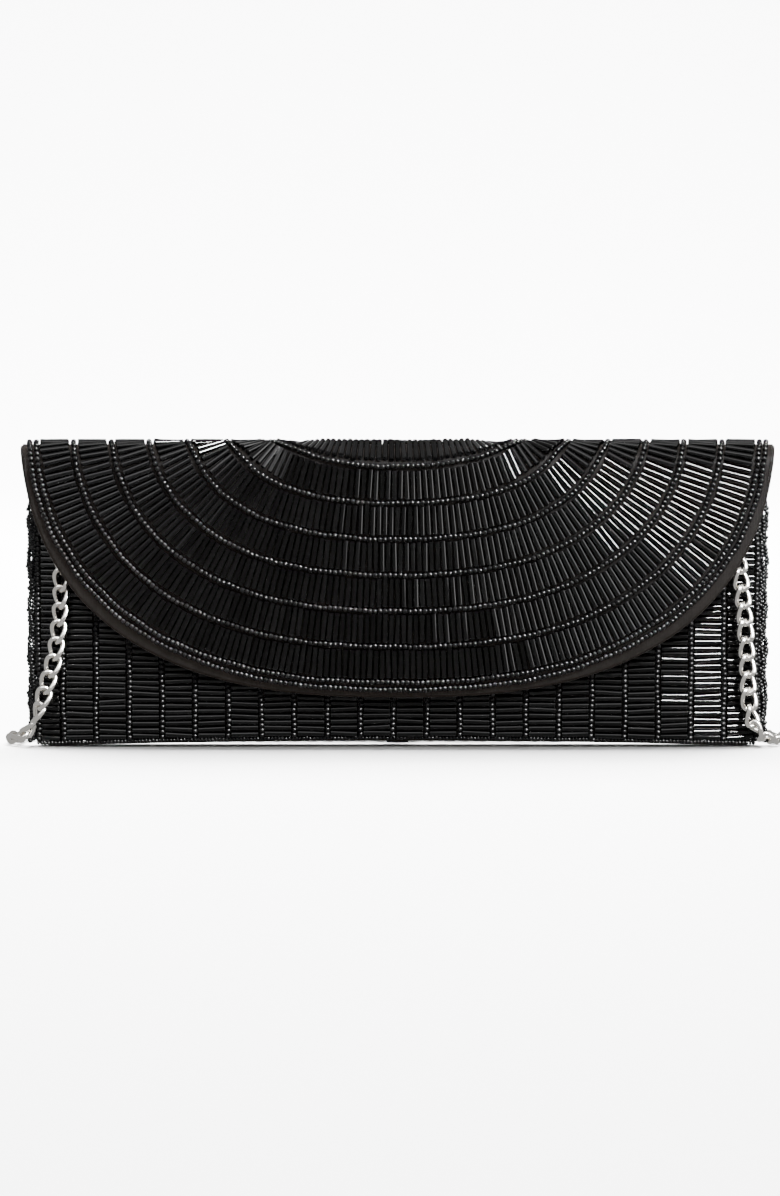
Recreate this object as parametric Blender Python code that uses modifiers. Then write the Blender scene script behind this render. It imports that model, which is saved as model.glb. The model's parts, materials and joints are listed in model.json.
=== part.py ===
"""Beaded envelope clutch: stiffened satin body, full-width rounded flap on a
fold hinge, magnetic snap, glass bead work and a curb chain.

Lengths below are in millimetres and are scaled to metres where meshes are
made.  Axes: X along the width, Y from front to back, Z up.  The front of the
clutch faces -Y.  "Bag coordinates" have y = 0 on the seam plane between the
front and back panels; an empty moves everything so that the origin is below
the middle of the closed clutch.
"""
import math

import bmesh
import bpy
from mathutils import Matrix, Vector

MM = 0.001
GAP = 0.3

# Body panels
BODY_HALF = 134.5
BODY_EDGE_DEPTH = 0.9
PANEL_BOTTOM = 1.7
FRONT_TOP = 97.0
BACK_TOP = 103.1
BULGE_POWER = 5.0
BULGE_ROUNDING = 0.6
FRONT_DEPTHS = ((0.0, 5.5), (12.0, 7.2), (45.0, 7.2), (97.0, 5.1))
BACK_DEPTHS = ((0.0, 5.5), (12.0, 7.2), (75.0, 7.2), (103.6, 6.3))
PANEL_COLUMNS = (-1.0, -0.975, -0.93, -0.86, -0.74, -0.5, 0.0, 0.5, 0.74, 0.86, 0.93, 0.975, 1.0)
FRONT_ROWS = (PANEL_BOTTOM, 12.0, 45.0, FRONT_TOP)
FRONT_BEAD_ROWS = (PANEL_BOTTOM, 12.0, 45.0, 94.0)
FRONT_BOARD_ROWS = (3.0, 12.0, 45.0, 94.0)
BACK_ROWS = (PANEL_BOTTOM, 12.0, 75.0, BACK_TOP)
BACK_BOARD_ROWS = (3.0, 12.0, 75.0, 101.0)
BOARD_HALF = 127.0
POCKET_HALF = 62.0
POCKET_ROWS = (14.0, 74.0)
LABEL_HALF = 14.0
LABEL_ROWS = (83.0, 90.0)

# Layers, measured outwards from the outer face of the satin
COVER = (-0.5, 0.0)
BEADS = (0.3, 2.3)
BOARD = (-1.6, -0.8)
FRONT_LINING = (-3.1, -2.6)
BACK_LINING = (-2.4, -1.9)
POCKET = (-3.2, -2.7)
LABEL = (-3.0, -2.7)
FLAP_BOARD = (-2.2, -1.4)
FLAP_LINING = (-3.0, -2.5)

# Flap: a sheet cut flat, then bent over the top fold
FOLD_Y = -2.4
FOLD_Z = 103.4
FOLD_R = 8.8
FOLD_FACETS = 6
FRONT_FALL = ((-13.1, 80.0), (-14.4, 55.0), (-14.4, 38.0), (-13.9, 16.0))
OUTLINE_HALF = 138.6
OUTLINE_DROP = 110.4
OUTLINE_POWER = 2.55
ROW_POWER = 2.42
OUTLINE_STEPS = 16
ROW_STEPS = 16
CORNER_ANGLE = 0.012
BOARD_INSET = 3.0
LINING_INSET = 1.5
LINING_TURN_IN = 0.5
BORDER_HALF = 137.0
BORDER_DROP = 108.9
ROW_HALF = 134.6
ROW_DROP = 106.2
ROW_HALF_STEP = 13.8
ROW_DROP_STEP = 13.3
ROW_COUNT = 8
SEED_HALF_WIDTH = 1.0
BUGLE_CLEARANCE = 1.3
LAST_BUGLE_INNER = (2.0, 2.0)
PIPING_R = 0.8
PIPING_LEVEL = -0.5

# Edges of the body
BINDING_R = 0.7
SIDE_BINDING_SPAN = (2.2, 102.0)
MOUTH_LEVEL = -1.4
EDGING_R = 0.8
EDGING_SPAN = (1.2, 98.0)
BOTTOM_EDGING_R = 0.7
BOTTOM_EDGING_Z = 0.9
GUSSET_THICK = 1.4
GUSSET_MARGIN = 1.0
GUSSET_HALF = 130.0

# Magnetic snap
SNAP_Z = 38.0
SNAP_CAP_R = 7.5
SNAP_CAP_DEPTH = 2.4
SNAP_FLOOR = 0.5
SNAP_SHANK_R = 1.5
SOCKET_SHANK_LENGTH = 2.6
STUD_SHANK_LENGTH = 2.4
STUD_PLATE_THICK = 0.8
SNAP_HOLE_R = 2.0
SNAP_SEAT_CLEARANCE = 0.7
WASHER_R = 7.0
WASHER_HOLE_R = 1.8
SOCKET_WASHER_THICK = 0.4
STUD_WASHER_THICK = 0.3
STUD_WASHER_BACK = 1.1
MAGNET_R = 6.0
MAGNET_HOLE_R = 2.4
MAGNET_SPAN = (0.8, 2.1)
POST_R = 1.6
POST_LENGTH = 2.0

# Chain ends
RING_X = 124.0
TAB_WIDTH = 6.0
TAB_THICK = 0.5
TAB_LOOP_CLEARANCE = 0.35
TAB_BACK_END_Z = 92.4
TAB_FRONT_FOLD = ((-1.15, 96.6), (0.0, 94.6), (0.4, 92.6))  # (from the bar, height)
TAB_ROOM = (13.0, 12.0, 22.0)
TAB_ROOM_Y = -6.0
TAB_ROOM_Z = 96.0
RING_WIRE_R = 0.8
RING_BAR_Y = -5.6
RING_BAR_Z = 97.6
RING_HALF_WIDTH = 5.2
RING_CORNER_R = 1.2
RING_DROP = 8.0
RING_LEAN = 1.3
JUMP_WIRE_R = 0.55
JUMP_R = 2.45
JUMP_HANG = 0.75
JUMP_STEPS = 16

# Chain, its flat thickness, and the spare length laid up behind the clutch
CHAIN_THICK = 2.8
CHAIN_POINT_STEP = 15.0
HANK_CENTRE_Y = 34.6
HANK_HALF_RUN = 55.0
HANK_END_R = 23.3
HANK_TOP = 7.0
HANK_GROOVE = 0.9
TIE_WIDTH = 8.0
TIE_THICK = 0.4
TIE_CORNER_R = 0.7
LEFT_ROUTE = (
    (-124.0, -7.5, 85.0), (-124.3, -7.8, 75.0), (-124.6, -8.1, 66.0), (-125.0, -8.4, 52.0),
    (-127.0, -8.4, 35.0), (-130.0, -8.2, 24.0), (-133.0, -8.0, 14.0), (-135.2, -7.4, 8.6),
    (-138.2, -5.6, 4.4), (-141.6, -2.0, 2.3), (-143.4, 3.4, 1.7), (-143.2, 9.6, 1.6),
    (-140.0, 16.4, 1.6), (-133.0, 21.2, 1.6), (-122.0, 23.4, 1.6), (-106.0, 21.4, 1.7),
    (-88.0, 17.0, 2.0), (-71.0, 14.6, 2.1),
)
RIGHT_ROUTE = (
    (124.0, -7.5, 85.0), (125.3, -7.8, 75.0), (126.8, -8.1, 66.0), (128.2, -8.4, 54.0),
    (129.5, -8.3, 36.0), (130.4, -8.2, 18.0), (131.6, -8.0, 9.4), (134.4, -7.2, 4.4),
    (138.2, -4.8, 2.2), (141.6, -0.2, 1.7), (142.8, 6.0, 1.6), (141.2, 12.8, 1.6),
    (136.0, 18.4, 1.6), (127.0, 21.6, 1.6), (112.0, 21.8, 1.6), (96.0, 19.8, 2.3),
    (84.0, 18.4, 4.2), (74.2, 17.9, 5.2),
)

CENTRE_Y = 3.6  # moves bag coordinates to the middle of the closed clutch
HINGE_Y = FOLD_Y + FOLD_R + BEADS[1]

COLOURS = {
    "satin": ((0.012, 0.010, 0.010), 0.5, 0.0),
    "beads": ((0.006, 0.006, 0.007), 0.15, 0.0),
    "board": ((0.45, 0.40, 0.33), 0.9, 0.0),
    "lining": ((0.015, 0.013, 0.014), 0.6, 0.0),
    "label": ((0.60, 0.57, 0.52), 0.7, 0.0),
    "steel": ((0.75, 0.75, 0.76), 0.2, 1.0),
    "magnet": ((0.10, 0.10, 0.11), 0.4, 1.0),
}


def clear_scene():
    for obj in list(bpy.data.objects):
        bpy.data.objects.remove(obj, do_unlink=True)


def make_collection(name):
    collection = bpy.data.collections.new(name)
    bpy.context.scene.collection.children.link(collection)
    return collection


def make_materials():
    made = {}
    for name, (colour, roughness, metallic) in COLOURS.items():
        material = bpy.data.materials.new(name)
        material.use_nodes = True
        shader = material.node_tree.nodes["Principled BSDF"]
        shader.inputs["Base Color"].default_value = (*colour, 1.0)
        shader.inputs["Roughness"].default_value = roughness
        shader.inputs["Metallic"].default_value = metallic
        made[name] = material
    return made


clear_scene()
PARTS = make_collection("beaded_clutch")
CUTTERS = make_collection("cutters")
MATERIALS = make_materials()


def make_empty(name, place, parent=None):
    """An empty at a point in bag coordinates (millimetres)."""
    empty = bpy.data.objects.new(name, None)
    PARTS.objects.link(empty)
    empty.parent = parent
    empty.location = Vector(place) * MM
    return empty


BAG = make_empty("clutch_origin", (0.0, CENTRE_Y, 0.0))
FLAP = make_empty("flap_hinge_axis", (0.0, HINGE_Y, FOLD_Z), BAG)


def add_part(name, data, material, parent=BAG):
    """Links a mesh or curve given in bag coordinates under its empty."""
    obj = bpy.data.objects.new(name, data)
    PARTS.objects.link(obj)
    obj.data.materials.append(MATERIALS[material])
    obj.parent = parent
    if parent is FLAP:
        obj.location = -FLAP.location
    return obj


def mesh_from(bm, name):
    bmesh.ops.recalc_face_normals(bm, faces=bm.faces)
    if bm.calc_volume(signed=True) < 0.0:
        bmesh.ops.reverse_faces(bm, faces=bm.faces)
    mesh = bpy.data.meshes.new(name)
    bm.to_mesh(mesh)
    bm.free()
    return mesh


def add_cutter(name, centre, radius=None, length=None, size=None):
    """A cylinder along Y, or a box, that cuts a part and is not one."""
    bm = bmesh.new()
    if size is None:
        turn = Matrix.Rotation(math.radians(90.0), 4, "X")
        bmesh.ops.create_cone(bm, cap_ends=True, segments=16, radius1=radius * MM,
                              radius2=radius * MM, depth=length * MM, matrix=turn)
    else:
        bmesh.ops.create_cube(bm, size=1.0, matrix=Matrix.Diagonal((*(Vector(size) * MM), 1.0)))
    cutter = bpy.data.objects.new(name, mesh_from(bm, name))
    CUTTERS.objects.link(cutter)
    cutter.parent = BAG
    cutter.location = Vector(centre) * MM
    cutter.hide_render = True
    cutter.display_type = "WIRE"
    return cutter


def cut(obj, cutter):
    modifier = obj.modifiers.new("cut", "BOOLEAN")
    modifier.operation = "DIFFERENCE"
    modifier.solver = "EXACT"
    modifier.object = cutter
    return obj


# ---- shapes of the two kinds of sheet ----

def between(value, low, high, start, end):
    return start + (end - start) * (value - low) / (high - low)


def panel_depth(z, table):
    """Depth of a panel at mid width, read along its height."""
    for (low, start), (high, end) in zip(table, table[1:]):
        if z <= high:
            return between(z, low, high, start, end)
    return table[-1][1]


def panel_point(x, z, outwards, side, table):
    """A point on a body panel; side is -1 for the front and 1 for the back."""
    share = max(0.0, 1.0 - abs(x / BODY_HALF) ** BULGE_POWER) ** BULGE_ROUNDING
    depth = BODY_EDGE_DEPTH + (panel_depth(z, table) - BODY_EDGE_DEPTH) * share
    return Vector((x, side * (depth + outwards), z))


def flap_profile():
    """The flap's section as (distance from the apex, place, mitre direction)."""
    points = []
    for step in range(FOLD_FACETS + 1):
        angle = math.pi * step / FOLD_FACETS
        points.append(Vector((FOLD_Y + FOLD_R * math.cos(angle), FOLD_Z + FOLD_R * math.sin(angle))))
    points.extend(Vector(point) for point in FRONT_FALL)
    lengths = [0.0]
    for start, end in zip(points, points[1:]):
        lengths.append(lengths[-1] + (end - start).length)
    apex = lengths[FOLD_FACETS // 2]
    normals = []
    for start, end in zip(points, points[1:]):
        along = (end - start).normalized()
        normals.append(Vector((along.y, -along.x)))
    mitres = [Vector((1.0 / normals[0].x, 0.0))]
    for first, second in zip(normals, normals[1:]):
        middle = (first + second).normalized()
        mitres.append(middle / middle.dot(first))
    mitres.append(normals[-1])
    return [(s - apex, point, mitre) for s, point, mitre in zip(lengths, points, mitres)]


PROFILE = flap_profile()
HINGE_S = PROFILE[0][0]


def flap_point(x, s, outwards):
    """Bends a point of the flat flap sheet onto the folded flap."""
    for (low, start, mitre_a), (high, end, mitre_b) in zip(PROFILE, PROFILE[1:]):
        if s <= high + 1e-6:
            break
    share = (s - low) / (high - low)
    spot = start.lerp(end, share) + outwards * mitre_a.lerp(mitre_b, share)
    return Vector((x, spot.x, spot.y))


def superellipse(half, drop, power, angle):
    """A point of the flat flap's curved outline; angle 0 and pi are the corners."""
    cosine = math.cos(angle)
    x = math.copysign(abs(cosine) ** (2.0 / power), cosine) * half
    s = HINGE_S + drop * max(0.0, math.sin(angle)) ** (2.0 / power)
    return x, s


def thick_grid(columns, rows, place, layer):
    """A grid primitive laid out by place(column, row) and given its thickness."""
    bm = bmesh.new()
    bmesh.ops.create_grid(bm, x_segments=columns, y_segments=rows, size=0.5)
    for vert in bm.verts:
        column = round((vert.co.x + 0.5) * columns)
        row = round((vert.co.y + 0.5) * rows)
        x, height = place(column, row)
        vert.co = Vector((x, height, layer[0]))
    return bm


def thicken(bm, layer):
    grown = bmesh.ops.extrude_face_region(bm, geom=bm.faces[:] + bm.edges[:] + bm.verts[:])
    for item in grown["geom"]:
        if isinstance(item, bmesh.types.BMVert):
            item.co.z = layer[1]
    return bm


def flap_sheet(name, columns, place, layer, material):
    """A flap layer: laid out flat, creased on the fold lines, then bent."""
    bm = thick_grid(columns, 1, place, layer)
    for s, _, _ in PROFILE[1:-1]:
        bmesh.ops.bisect_plane(bm, geom=bm.verts[:] + bm.edges[:] + bm.faces[:], dist=1e-4,
                               plane_co=(0.0, s, 0.0), plane_no=(0.0, 1.0, 0.0))
    thicken(bm, layer)
    for vert in bm.verts:
        vert.co = flap_point(vert.co.x, vert.co.y, vert.co.z) * MM
    return add_part(name, mesh_from(bm, name), material, FLAP)


def panel_sheet(name, columns, rows, layer, material, side):
    """A body panel layer over the given widths and heights."""
    table = FRONT_DEPTHS if side < 0 else BACK_DEPTHS

    def place(column, row):
        return columns[column], rows[row]

    bm = thick_grid(len(columns) - 1, len(rows) - 1, place, layer)
    thicken(bm, layer)
    for vert in bm.verts:
        vert.co = panel_point(vert.co.x, vert.co.y, vert.co.z, side, table) * MM
    return add_part(name, mesh_from(bm, name), material)


def wire(name, points, radius, material, cyclic=False, parent=BAG, sides=2):
    """A round wire or cord along points, as a curve with a bevel."""
    curve = bpy.data.curves.new(name, "CURVE")
    curve.dimensions = "3D"
    curve.bevel_depth = radius * MM
    curve.bevel_resolution = sides
    curve.use_fill_caps = not cyclic
    spline = curve.splines.new("POLY")
    spline.points.add(len(points) - 1)
    for point, place in zip(spline.points, points):
        point.co = (*(Vector(place) * MM), 1.0)
    spline.use_cyclic_u = cyclic
    return add_part(name, curve, material, parent)


def turned(name, profile, x, y, z, material, parent=BAG, steps=24):
    """Turns a closed (radius, depth) outline about an axis along Y."""
    bm = bmesh.new()
    verts = [bm.verts.new((radius * MM, 0.0, depth * MM)) for radius, depth in profile]
    edges = [bm.edges.new((first, second)) for first, second in zip(verts, verts[1:])]
    if profile[0][0] > 0.0:
        edges.append(bm.edges.new((verts[-1], verts[0])))
    bmesh.ops.spin(bm, geom=verts + edges, cent=(0, 0, 0), axis=(0, 0, 1),
                   angle=2.0 * math.pi, steps=steps, use_merge=True)
    bmesh.ops.remove_doubles(bm, verts=bm.verts, dist=1e-7)
    turn = Matrix.Translation(Vector((x, y, z)) * MM) @ Matrix.Rotation(math.radians(90.0), 4, "X")
    bmesh.ops.transform(bm, matrix=turn, verts=bm.verts)
    mesh = mesh_from(bm, name)
    mesh.shade_smooth()
    mesh.set_sharp_from_angle(angle=math.radians(40.0))
    return add_part(name, mesh, material, parent)


# ---- body ----

def scaled(shares, half):
    return [share * half for share in shares]


def make_panels():
    full = scaled(PANEL_COLUMNS, BODY_HALF)
    inner = scaled(PANEL_COLUMNS[1:-1], BOARD_HALF / PANEL_COLUMNS[-2])
    hole = add_cutter("snap_hole", (0.0, -7.0, SNAP_Z), radius=SNAP_HOLE_R, length=8.0)
    seat = add_cutter("snap_seat", (0.0, -8.5, SNAP_Z), radius=SNAP_CAP_R + SNAP_SEAT_CLEARANCE, length=4.0)
    front_cover = panel_sheet("front_cover", full, FRONT_ROWS, COVER, "satin", -1)
    cut(front_cover, hole)
    cut(panel_sheet("front_board", inner, FRONT_BOARD_ROWS, BOARD, "board", -1), hole)
    panel_sheet("front_lining", inner, FRONT_BOARD_ROWS, FRONT_LINING, "lining", -1)
    beads = panel_sheet("front_bead_field", full, FRONT_BEAD_ROWS, BEADS, "beads", -1)
    cut(beads, seat)
    for side in (-1, 1):
        room = add_cutter(f"tab_room_{side}", (side * RING_X, TAB_ROOM_Y, TAB_ROOM_Z), size=TAB_ROOM)
        cut(beads, room)
    panel_sheet("back_cover", full, BACK_ROWS, COVER, "satin", 1)
    panel_sheet("back_board", inner, BACK_BOARD_ROWS, BOARD, "board", 1)
    panel_sheet("back_lining", inner, BACK_BOARD_ROWS, BACK_LINING, "lining", 1)
    panel_sheet("back_bead_field", full, BACK_ROWS, BEADS, "beads", 1)
    panel_sheet("slip_pocket", (-POCKET_HALF, 0.0, POCKET_HALF), POCKET_ROWS, POCKET, "lining", 1)
    panel_sheet("blank_label", (-LABEL_HALF, 0.0, LABEL_HALF), LABEL_ROWS, LABEL, "label", 1)


def bottom_depth(x):
    return -panel_point(x, PANEL_BOTTOM, 0.0, -1, FRONT_DEPTHS).y


def make_edges():
    """Side bindings, picot edgings, mouth binding and bottom gusset."""
    for side, word in ((-1, "left"), (1, "right")):
        x = side * (BODY_HALF + GAP + BINDING_R)
        wire(f"{word}_side_binding", [(x, 0.0, z) for z in SIDE_BINDING_SPAN], BINDING_R, "satin")
        x = side * (BODY_HALF + 2.0 * GAP + 2.0 * BINDING_R + EDGING_R)
        wire(f"{word}_bead_edging", [(x, 0.0, z) for z in EDGING_SPAN], EDGING_R, "beads")
    widths = scaled(PANEL_COLUMNS[1:-1], BODY_HALF)
    mouth = []
    for x in widths:
        spot = panel_point(x, FRONT_TOP, MOUTH_LEVEL, -1, FRONT_DEPTHS)
        mouth.append((x, spot.y, FRONT_TOP + GAP + BINDING_R))
    wire("mouth_binding", mouth, BINDING_R, "satin")
    ends = [x for x in widths if abs(x) <= GUSSET_HALF]
    ends = [-GUSSET_HALF, *ends, GUSSET_HALF]
    for side, word in ((-1, "front"), (1, "back")):
        away = GUSSET_MARGIN + GAP + EDGING_R
        path = [(x, side * (bottom_depth(x) + away), BOTTOM_EDGING_Z) for x in ends]
        wire(f"{word}_bottom_edging", path, BOTTOM_EDGING_R, "beads")
    outline = [(x, bottom_depth(x) + GUSSET_MARGIN) for x in ends]
    outline += [(x, -y) for x, y in reversed(outline)]
    curve = bpy.data.curves.new("bottom_gusset", "CURVE")
    curve.dimensions = "2D"
    curve.fill_mode = "BOTH"
    curve.extrude = 0.5 * GUSSET_THICK * MM
    spline = curve.splines.new("POLY")
    spline.points.add(len(outline) - 1)
    for point, (x, y) in zip(spline.points, outline):
        point.co = (x * MM, y * MM, 0.0, 1.0)
    spline.use_cyclic_u = True
    gusset = add_part("bottom_gusset", curve, "satin")
    gusset.location.z = 0.5 * GUSSET_THICK * MM


# ---- flap ----

def sheet_place(half, drop, top):
    """Columns of a flap layer, from the line s = top down to its outline."""
    low = max(CORNER_ANGLE, math.asin(min(1.0, ((top - HINGE_S) / drop) ** (OUTLINE_POWER / 2.0))) + 0.004)

    def place(column, row):
        angle = low + (math.pi - 2.0 * low) * column / OUTLINE_STEPS
        x, s = superellipse(half, drop, OUTLINE_POWER, angle)
        return (x, s) if row else (x, top)

    return place


def band_place(inner, outer):
    """A ring-shaped strip between two rows given as (half width, drop)."""

    def place(column, row):
        half, drop = outer if row else inner
        return superellipse(half, drop, ROW_POWER, math.pi * column / ROW_STEPS)

    return place


def row_size(index):
    return ROW_HALF - ROW_HALF_STEP * index, ROW_DROP - ROW_DROP_STEP * index


def grown(size, margin):
    return size[0] + margin, size[1] + margin


def make_flap():
    hole = add_cutter("stud_hole", (0.0, -11.6, SNAP_Z), radius=SNAP_HOLE_R, length=3.6)
    place = sheet_place(OUTLINE_HALF, OUTLINE_DROP, HINGE_S)
    flap_sheet("flap_cover", OUTLINE_STEPS, place, COVER, "satin")
    board_top = PROFILE[FOLD_FACETS][0]
    place = sheet_place(OUTLINE_HALF - BOARD_INSET, OUTLINE_DROP - BOARD_INSET, board_top)
    cut(flap_sheet("flap_board", OUTLINE_STEPS, place, FLAP_BOARD, "board"), hole)
    place = sheet_place(OUTLINE_HALF - LINING_INSET, OUTLINE_DROP - LINING_INSET, HINGE_S + LINING_TURN_IN)
    cut(flap_sheet("flap_lining", OUTLINE_STEPS, place, FLAP_LINING, "lining"), hole)
    seeds = [(BORDER_HALF, BORDER_DROP)]
    seeds += [row_size(index) for index in range(ROW_COUNT)]
    for index, size in enumerate(seeds):
        place = band_place(grown(size, -SEED_HALF_WIDTH), grown(size, SEED_HALF_WIDTH))
        flap_sheet(f"flap_seed_row_{index}", ROW_STEPS, place, BEADS, "beads")
    for index in range(ROW_COUNT - 1):
        inner, outer = row_size(index + 1), row_size(index)
        place = band_place(grown(inner, BUGLE_CLEARANCE), grown(outer, -BUGLE_CLEARANCE))
        flap_sheet(f"flap_bugle_row_{index}", ROW_STEPS, place, BEADS, "beads")
    last = row_size(ROW_COUNT - 1)
    place = band_place(LAST_BUGLE_INNER, grown(last, -BUGLE_CLEARANCE))
    flap_sheet(f"flap_bugle_row_{ROW_COUNT - 1}", ROW_STEPS, place, BEADS, "beads")
    make_piping()


def make_piping():
    """The rolled satin edge, a tube just outside the flap's outline."""
    away = GAP + PIPING_R
    flat = []
    for step in range(OUTLINE_STEPS + 1):
        angle = CORNER_ANGLE + (math.pi - 2.0 * CORNER_ANGLE) * step / OUTLINE_STEPS
        flat.append(superellipse(OUTLINE_HALF + away, OUTLINE_DROP + away, OUTLINE_POWER, angle))
    path = [flat[0]]
    for (x0, s0), (x1, s1) in zip(flat, flat[1:]):
        creases = [s for s, _, _ in PROFILE if min(s0, s1) + 0.5 < s < max(s0, s1) - 0.5]
        for s in sorted(creases, reverse=s1 < s0):
            path.append((between(s, s0, s1, x0, x1), s))
        path.append((x1, s1))
    centre = [flap_point(x, s, PIPING_LEVEL) for x, s in path]
    wire("flap_piping", centre, PIPING_R, "satin", parent=FLAP)


# ---- magnetic snap ----

def tube(inner, outer, start, end):
    """A washer's outline, as (radius, depth) corners."""
    return (inner, start), (outer, start), (outer, end), (inner, end)


def make_snap():
    """Each turned outline is (radius, distance in front of a base plane)."""
    face = panel_depth(SNAP_Z, FRONT_DEPTHS)
    cap = -(face + GAP)
    cup = MAGNET_R + GAP
    turned("snap_socket_case", (
        (0.0, -SOCKET_SHANK_LENGTH), (SNAP_SHANK_R, -SOCKET_SHANK_LENGTH), (SNAP_SHANK_R, 0.0),
        (SNAP_CAP_R, 0.0), (SNAP_CAP_R, SNAP_CAP_DEPTH), (cup, SNAP_CAP_DEPTH), (cup, SNAP_FLOOR),
        (0.0, SNAP_FLOOR)), 0.0, cap, SNAP_Z, "steel")
    turned("snap_magnet", tube(MAGNET_HOLE_R, MAGNET_R, *MAGNET_SPAN), 0.0, cap, SNAP_Z, "magnet")
    washer = -(face + BOARD[0] - GAP - SOCKET_WASHER_THICK)
    turned("snap_socket_washer", tube(WASHER_HOLE_R, WASHER_R, 0.0, SOCKET_WASHER_THICK),
           0.0, washer, SNAP_Z, "steel")
    flap_face = FRONT_FALL[1][0]
    plate = flap_face - FLAP_LINING[0] + GAP
    turned("snap_stud_plate", (
        (0.0, -POST_LENGTH), (POST_R, -POST_LENGTH), (POST_R, -STUD_PLATE_THICK),
        (SNAP_CAP_R, -STUD_PLATE_THICK), (SNAP_CAP_R, 0.0), (SNAP_SHANK_R, 0.0),
        (SNAP_SHANK_R, STUD_SHANK_LENGTH), (0.0, STUD_SHANK_LENGTH)), 0.0, plate, SNAP_Z, "steel", FLAP)
    turned("snap_stud_washer", tube(WASHER_HOLE_R, WASHER_R, 0.0, STUD_WASHER_THICK),
           0.0, flap_face + STUD_WASHER_BACK, SNAP_Z, "steel", FLAP)


# ---- chain ends ----

def arc(centre, radius, start, end, steps):
    points = []
    for step in range(steps + 1):
        angle = math.radians(start + (end - start) * step / steps)
        points.append((centre[0] + radius * math.cos(angle), centre[1] + radius * math.sin(angle)))
    return points


def make_tab(word, x):
    """A satin loop sewn to the mouth edge and folded over the ring's bar."""
    loop_r = RING_WIRE_R + TAB_LOOP_CLEARANCE
    section = [(RING_BAR_Y + loop_r, TAB_BACK_END_Z)]
    section += arc((RING_BAR_Y, RING_BAR_Z), loop_r, 0.0, 180.0, 8)
    section += [(RING_BAR_Y + y, z) for y, z in TAB_FRONT_FOLD]
    bm = bmesh.new()
    verts = [bm.verts.new((x * MM - 0.5 * TAB_WIDTH * MM, y * MM, z * MM)) for y, z in section]
    edges = [bm.edges.new((first, second)) for first, second in zip(verts, verts[1:])]
    grown_part = bmesh.ops.extrude_edge_only(bm, edges=edges)
    for item in grown_part["geom"]:
        if isinstance(item, bmesh.types.BMVert):
            item.co.x += TAB_WIDTH * MM
    mesh = mesh_from(bm, f"{word}_ring_tab")
    tab = add_part(f"{word}_ring_tab", mesh, "satin")
    wall = tab.modifiers.new("ribbon", "SOLIDIFY")
    wall.thickness = TAB_THICK * MM
    wall.offset = 0.0
    wall.use_even_offset = True


def make_ring(word, x):
    """A D-ring: straight bar at the top in the tab, round below."""
    corner = RING_CORNER_R
    reach = RING_HALF_WIDTH - corner
    down = [(x - reach, 0.0), (x + reach, 0.0)]
    down += arc((x + reach, corner), corner, -60.0, 0.0, 2)
    down += arc((x, RING_DROP - RING_HALF_WIDTH), RING_HALF_WIDTH, 0.0, 180.0, 10)
    down += arc((x - reach, corner), corner, 180.0, 240.0, 2)
    lean = RING_LEAN / RING_DROP
    path = [(px, RING_BAR_Y - drop * lean, RING_BAR_Z - drop) for px, drop in down]
    wire(f"{word}_d_ring", path, RING_WIRE_R, "steel", cyclic=True)


def make_jump_ring(word, x):
    """A round ring at 45 degrees between the D-ring and the chain."""
    centre = Vector((x, RING_BAR_Y - RING_LEAN, RING_BAR_Z - RING_DROP - JUMP_HANG))
    side = Vector((math.sqrt(0.5), math.sqrt(0.5), 0.0))
    path = []
    for step in range(JUMP_STEPS):
        angle = 2.0 * math.pi * step / JUMP_STEPS
        path.append(centre + JUMP_R * (math.cos(angle) * side + math.sin(angle) * Vector((0.0, 0.0, 1.0))))
    wire(f"{word}_jump_ring", path, JUMP_WIRE_R, "steel", cyclic=True)


# ---- chain ----

def catmull(points, step):
    """A smooth curve through points, read every step millimetres."""
    points = [Vector(point) for point in points]
    first = 2.0 * points[0] - points[1]
    last = 2.0 * points[-1] - points[-2]
    ring = [first, *points, last]
    fine = []
    for index in range(1, len(ring) - 2):
        a, b, c, d = ring[index - 1:index + 3]
        for part in range(12):
            t = part / 12.0
            fine.append(0.5 * (2.0 * b + (c - a) * t + (2.0 * a - 5.0 * b + 4.0 * c - d) * t ** 2
                               + (3.0 * b - a - 3.0 * c + d) * t ** 3))
    fine.append(points[-1])
    travelled = [0.0]
    for start, end in zip(fine, fine[1:]):
        travelled.append(travelled[-1] + (end - start).length)
    count = round(travelled[-1] / step)
    read = []
    index = 0
    for number in range(count + 1):
        target = travelled[-1] * number / count
        while index < len(fine) - 2 and travelled[index + 1] < target:
            index += 1
        share = (target - travelled[index]) / (travelled[index + 1] - travelled[index])
        read.append(fine[index].lerp(fine[index + 1], share))
    return read


def stadium(half_run, radius, steps):
    points = arc((half_run, 0.0), radius, -90.0, 90.0, steps)
    return points + arc((-half_run, 0.0), radius, 90.0, 270.0, steps)


def make_hank():
    """The outer shape of the spare chain, with a groove under its tie."""
    outline = stadium(HANK_HALF_RUN, HANK_END_R, 10)
    bm = bmesh.new()
    face = bm.faces.new([bm.verts.new((x * MM, (y + HANK_CENTRE_Y) * MM, 0.0)) for x, y in outline])
    top = bmesh.ops.extrude_face_region(bm, geom=[face])
    for item in top["geom"]:
        if isinstance(item, bmesh.types.BMVert):
            item.co.z = HANK_TOP * MM
    hank = add_part("chain_hank", mesh_from(bm, "chain_hank"), "steel")
    groove = add_cutter("tie_groove", (0.0, HANK_CENTRE_Y, 0.0),
                        size=(TIE_WIDTH + 2.0, 3.0 * HANK_END_R, 2.0 * HANK_GROOVE))
    cut(hank, groove)


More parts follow.
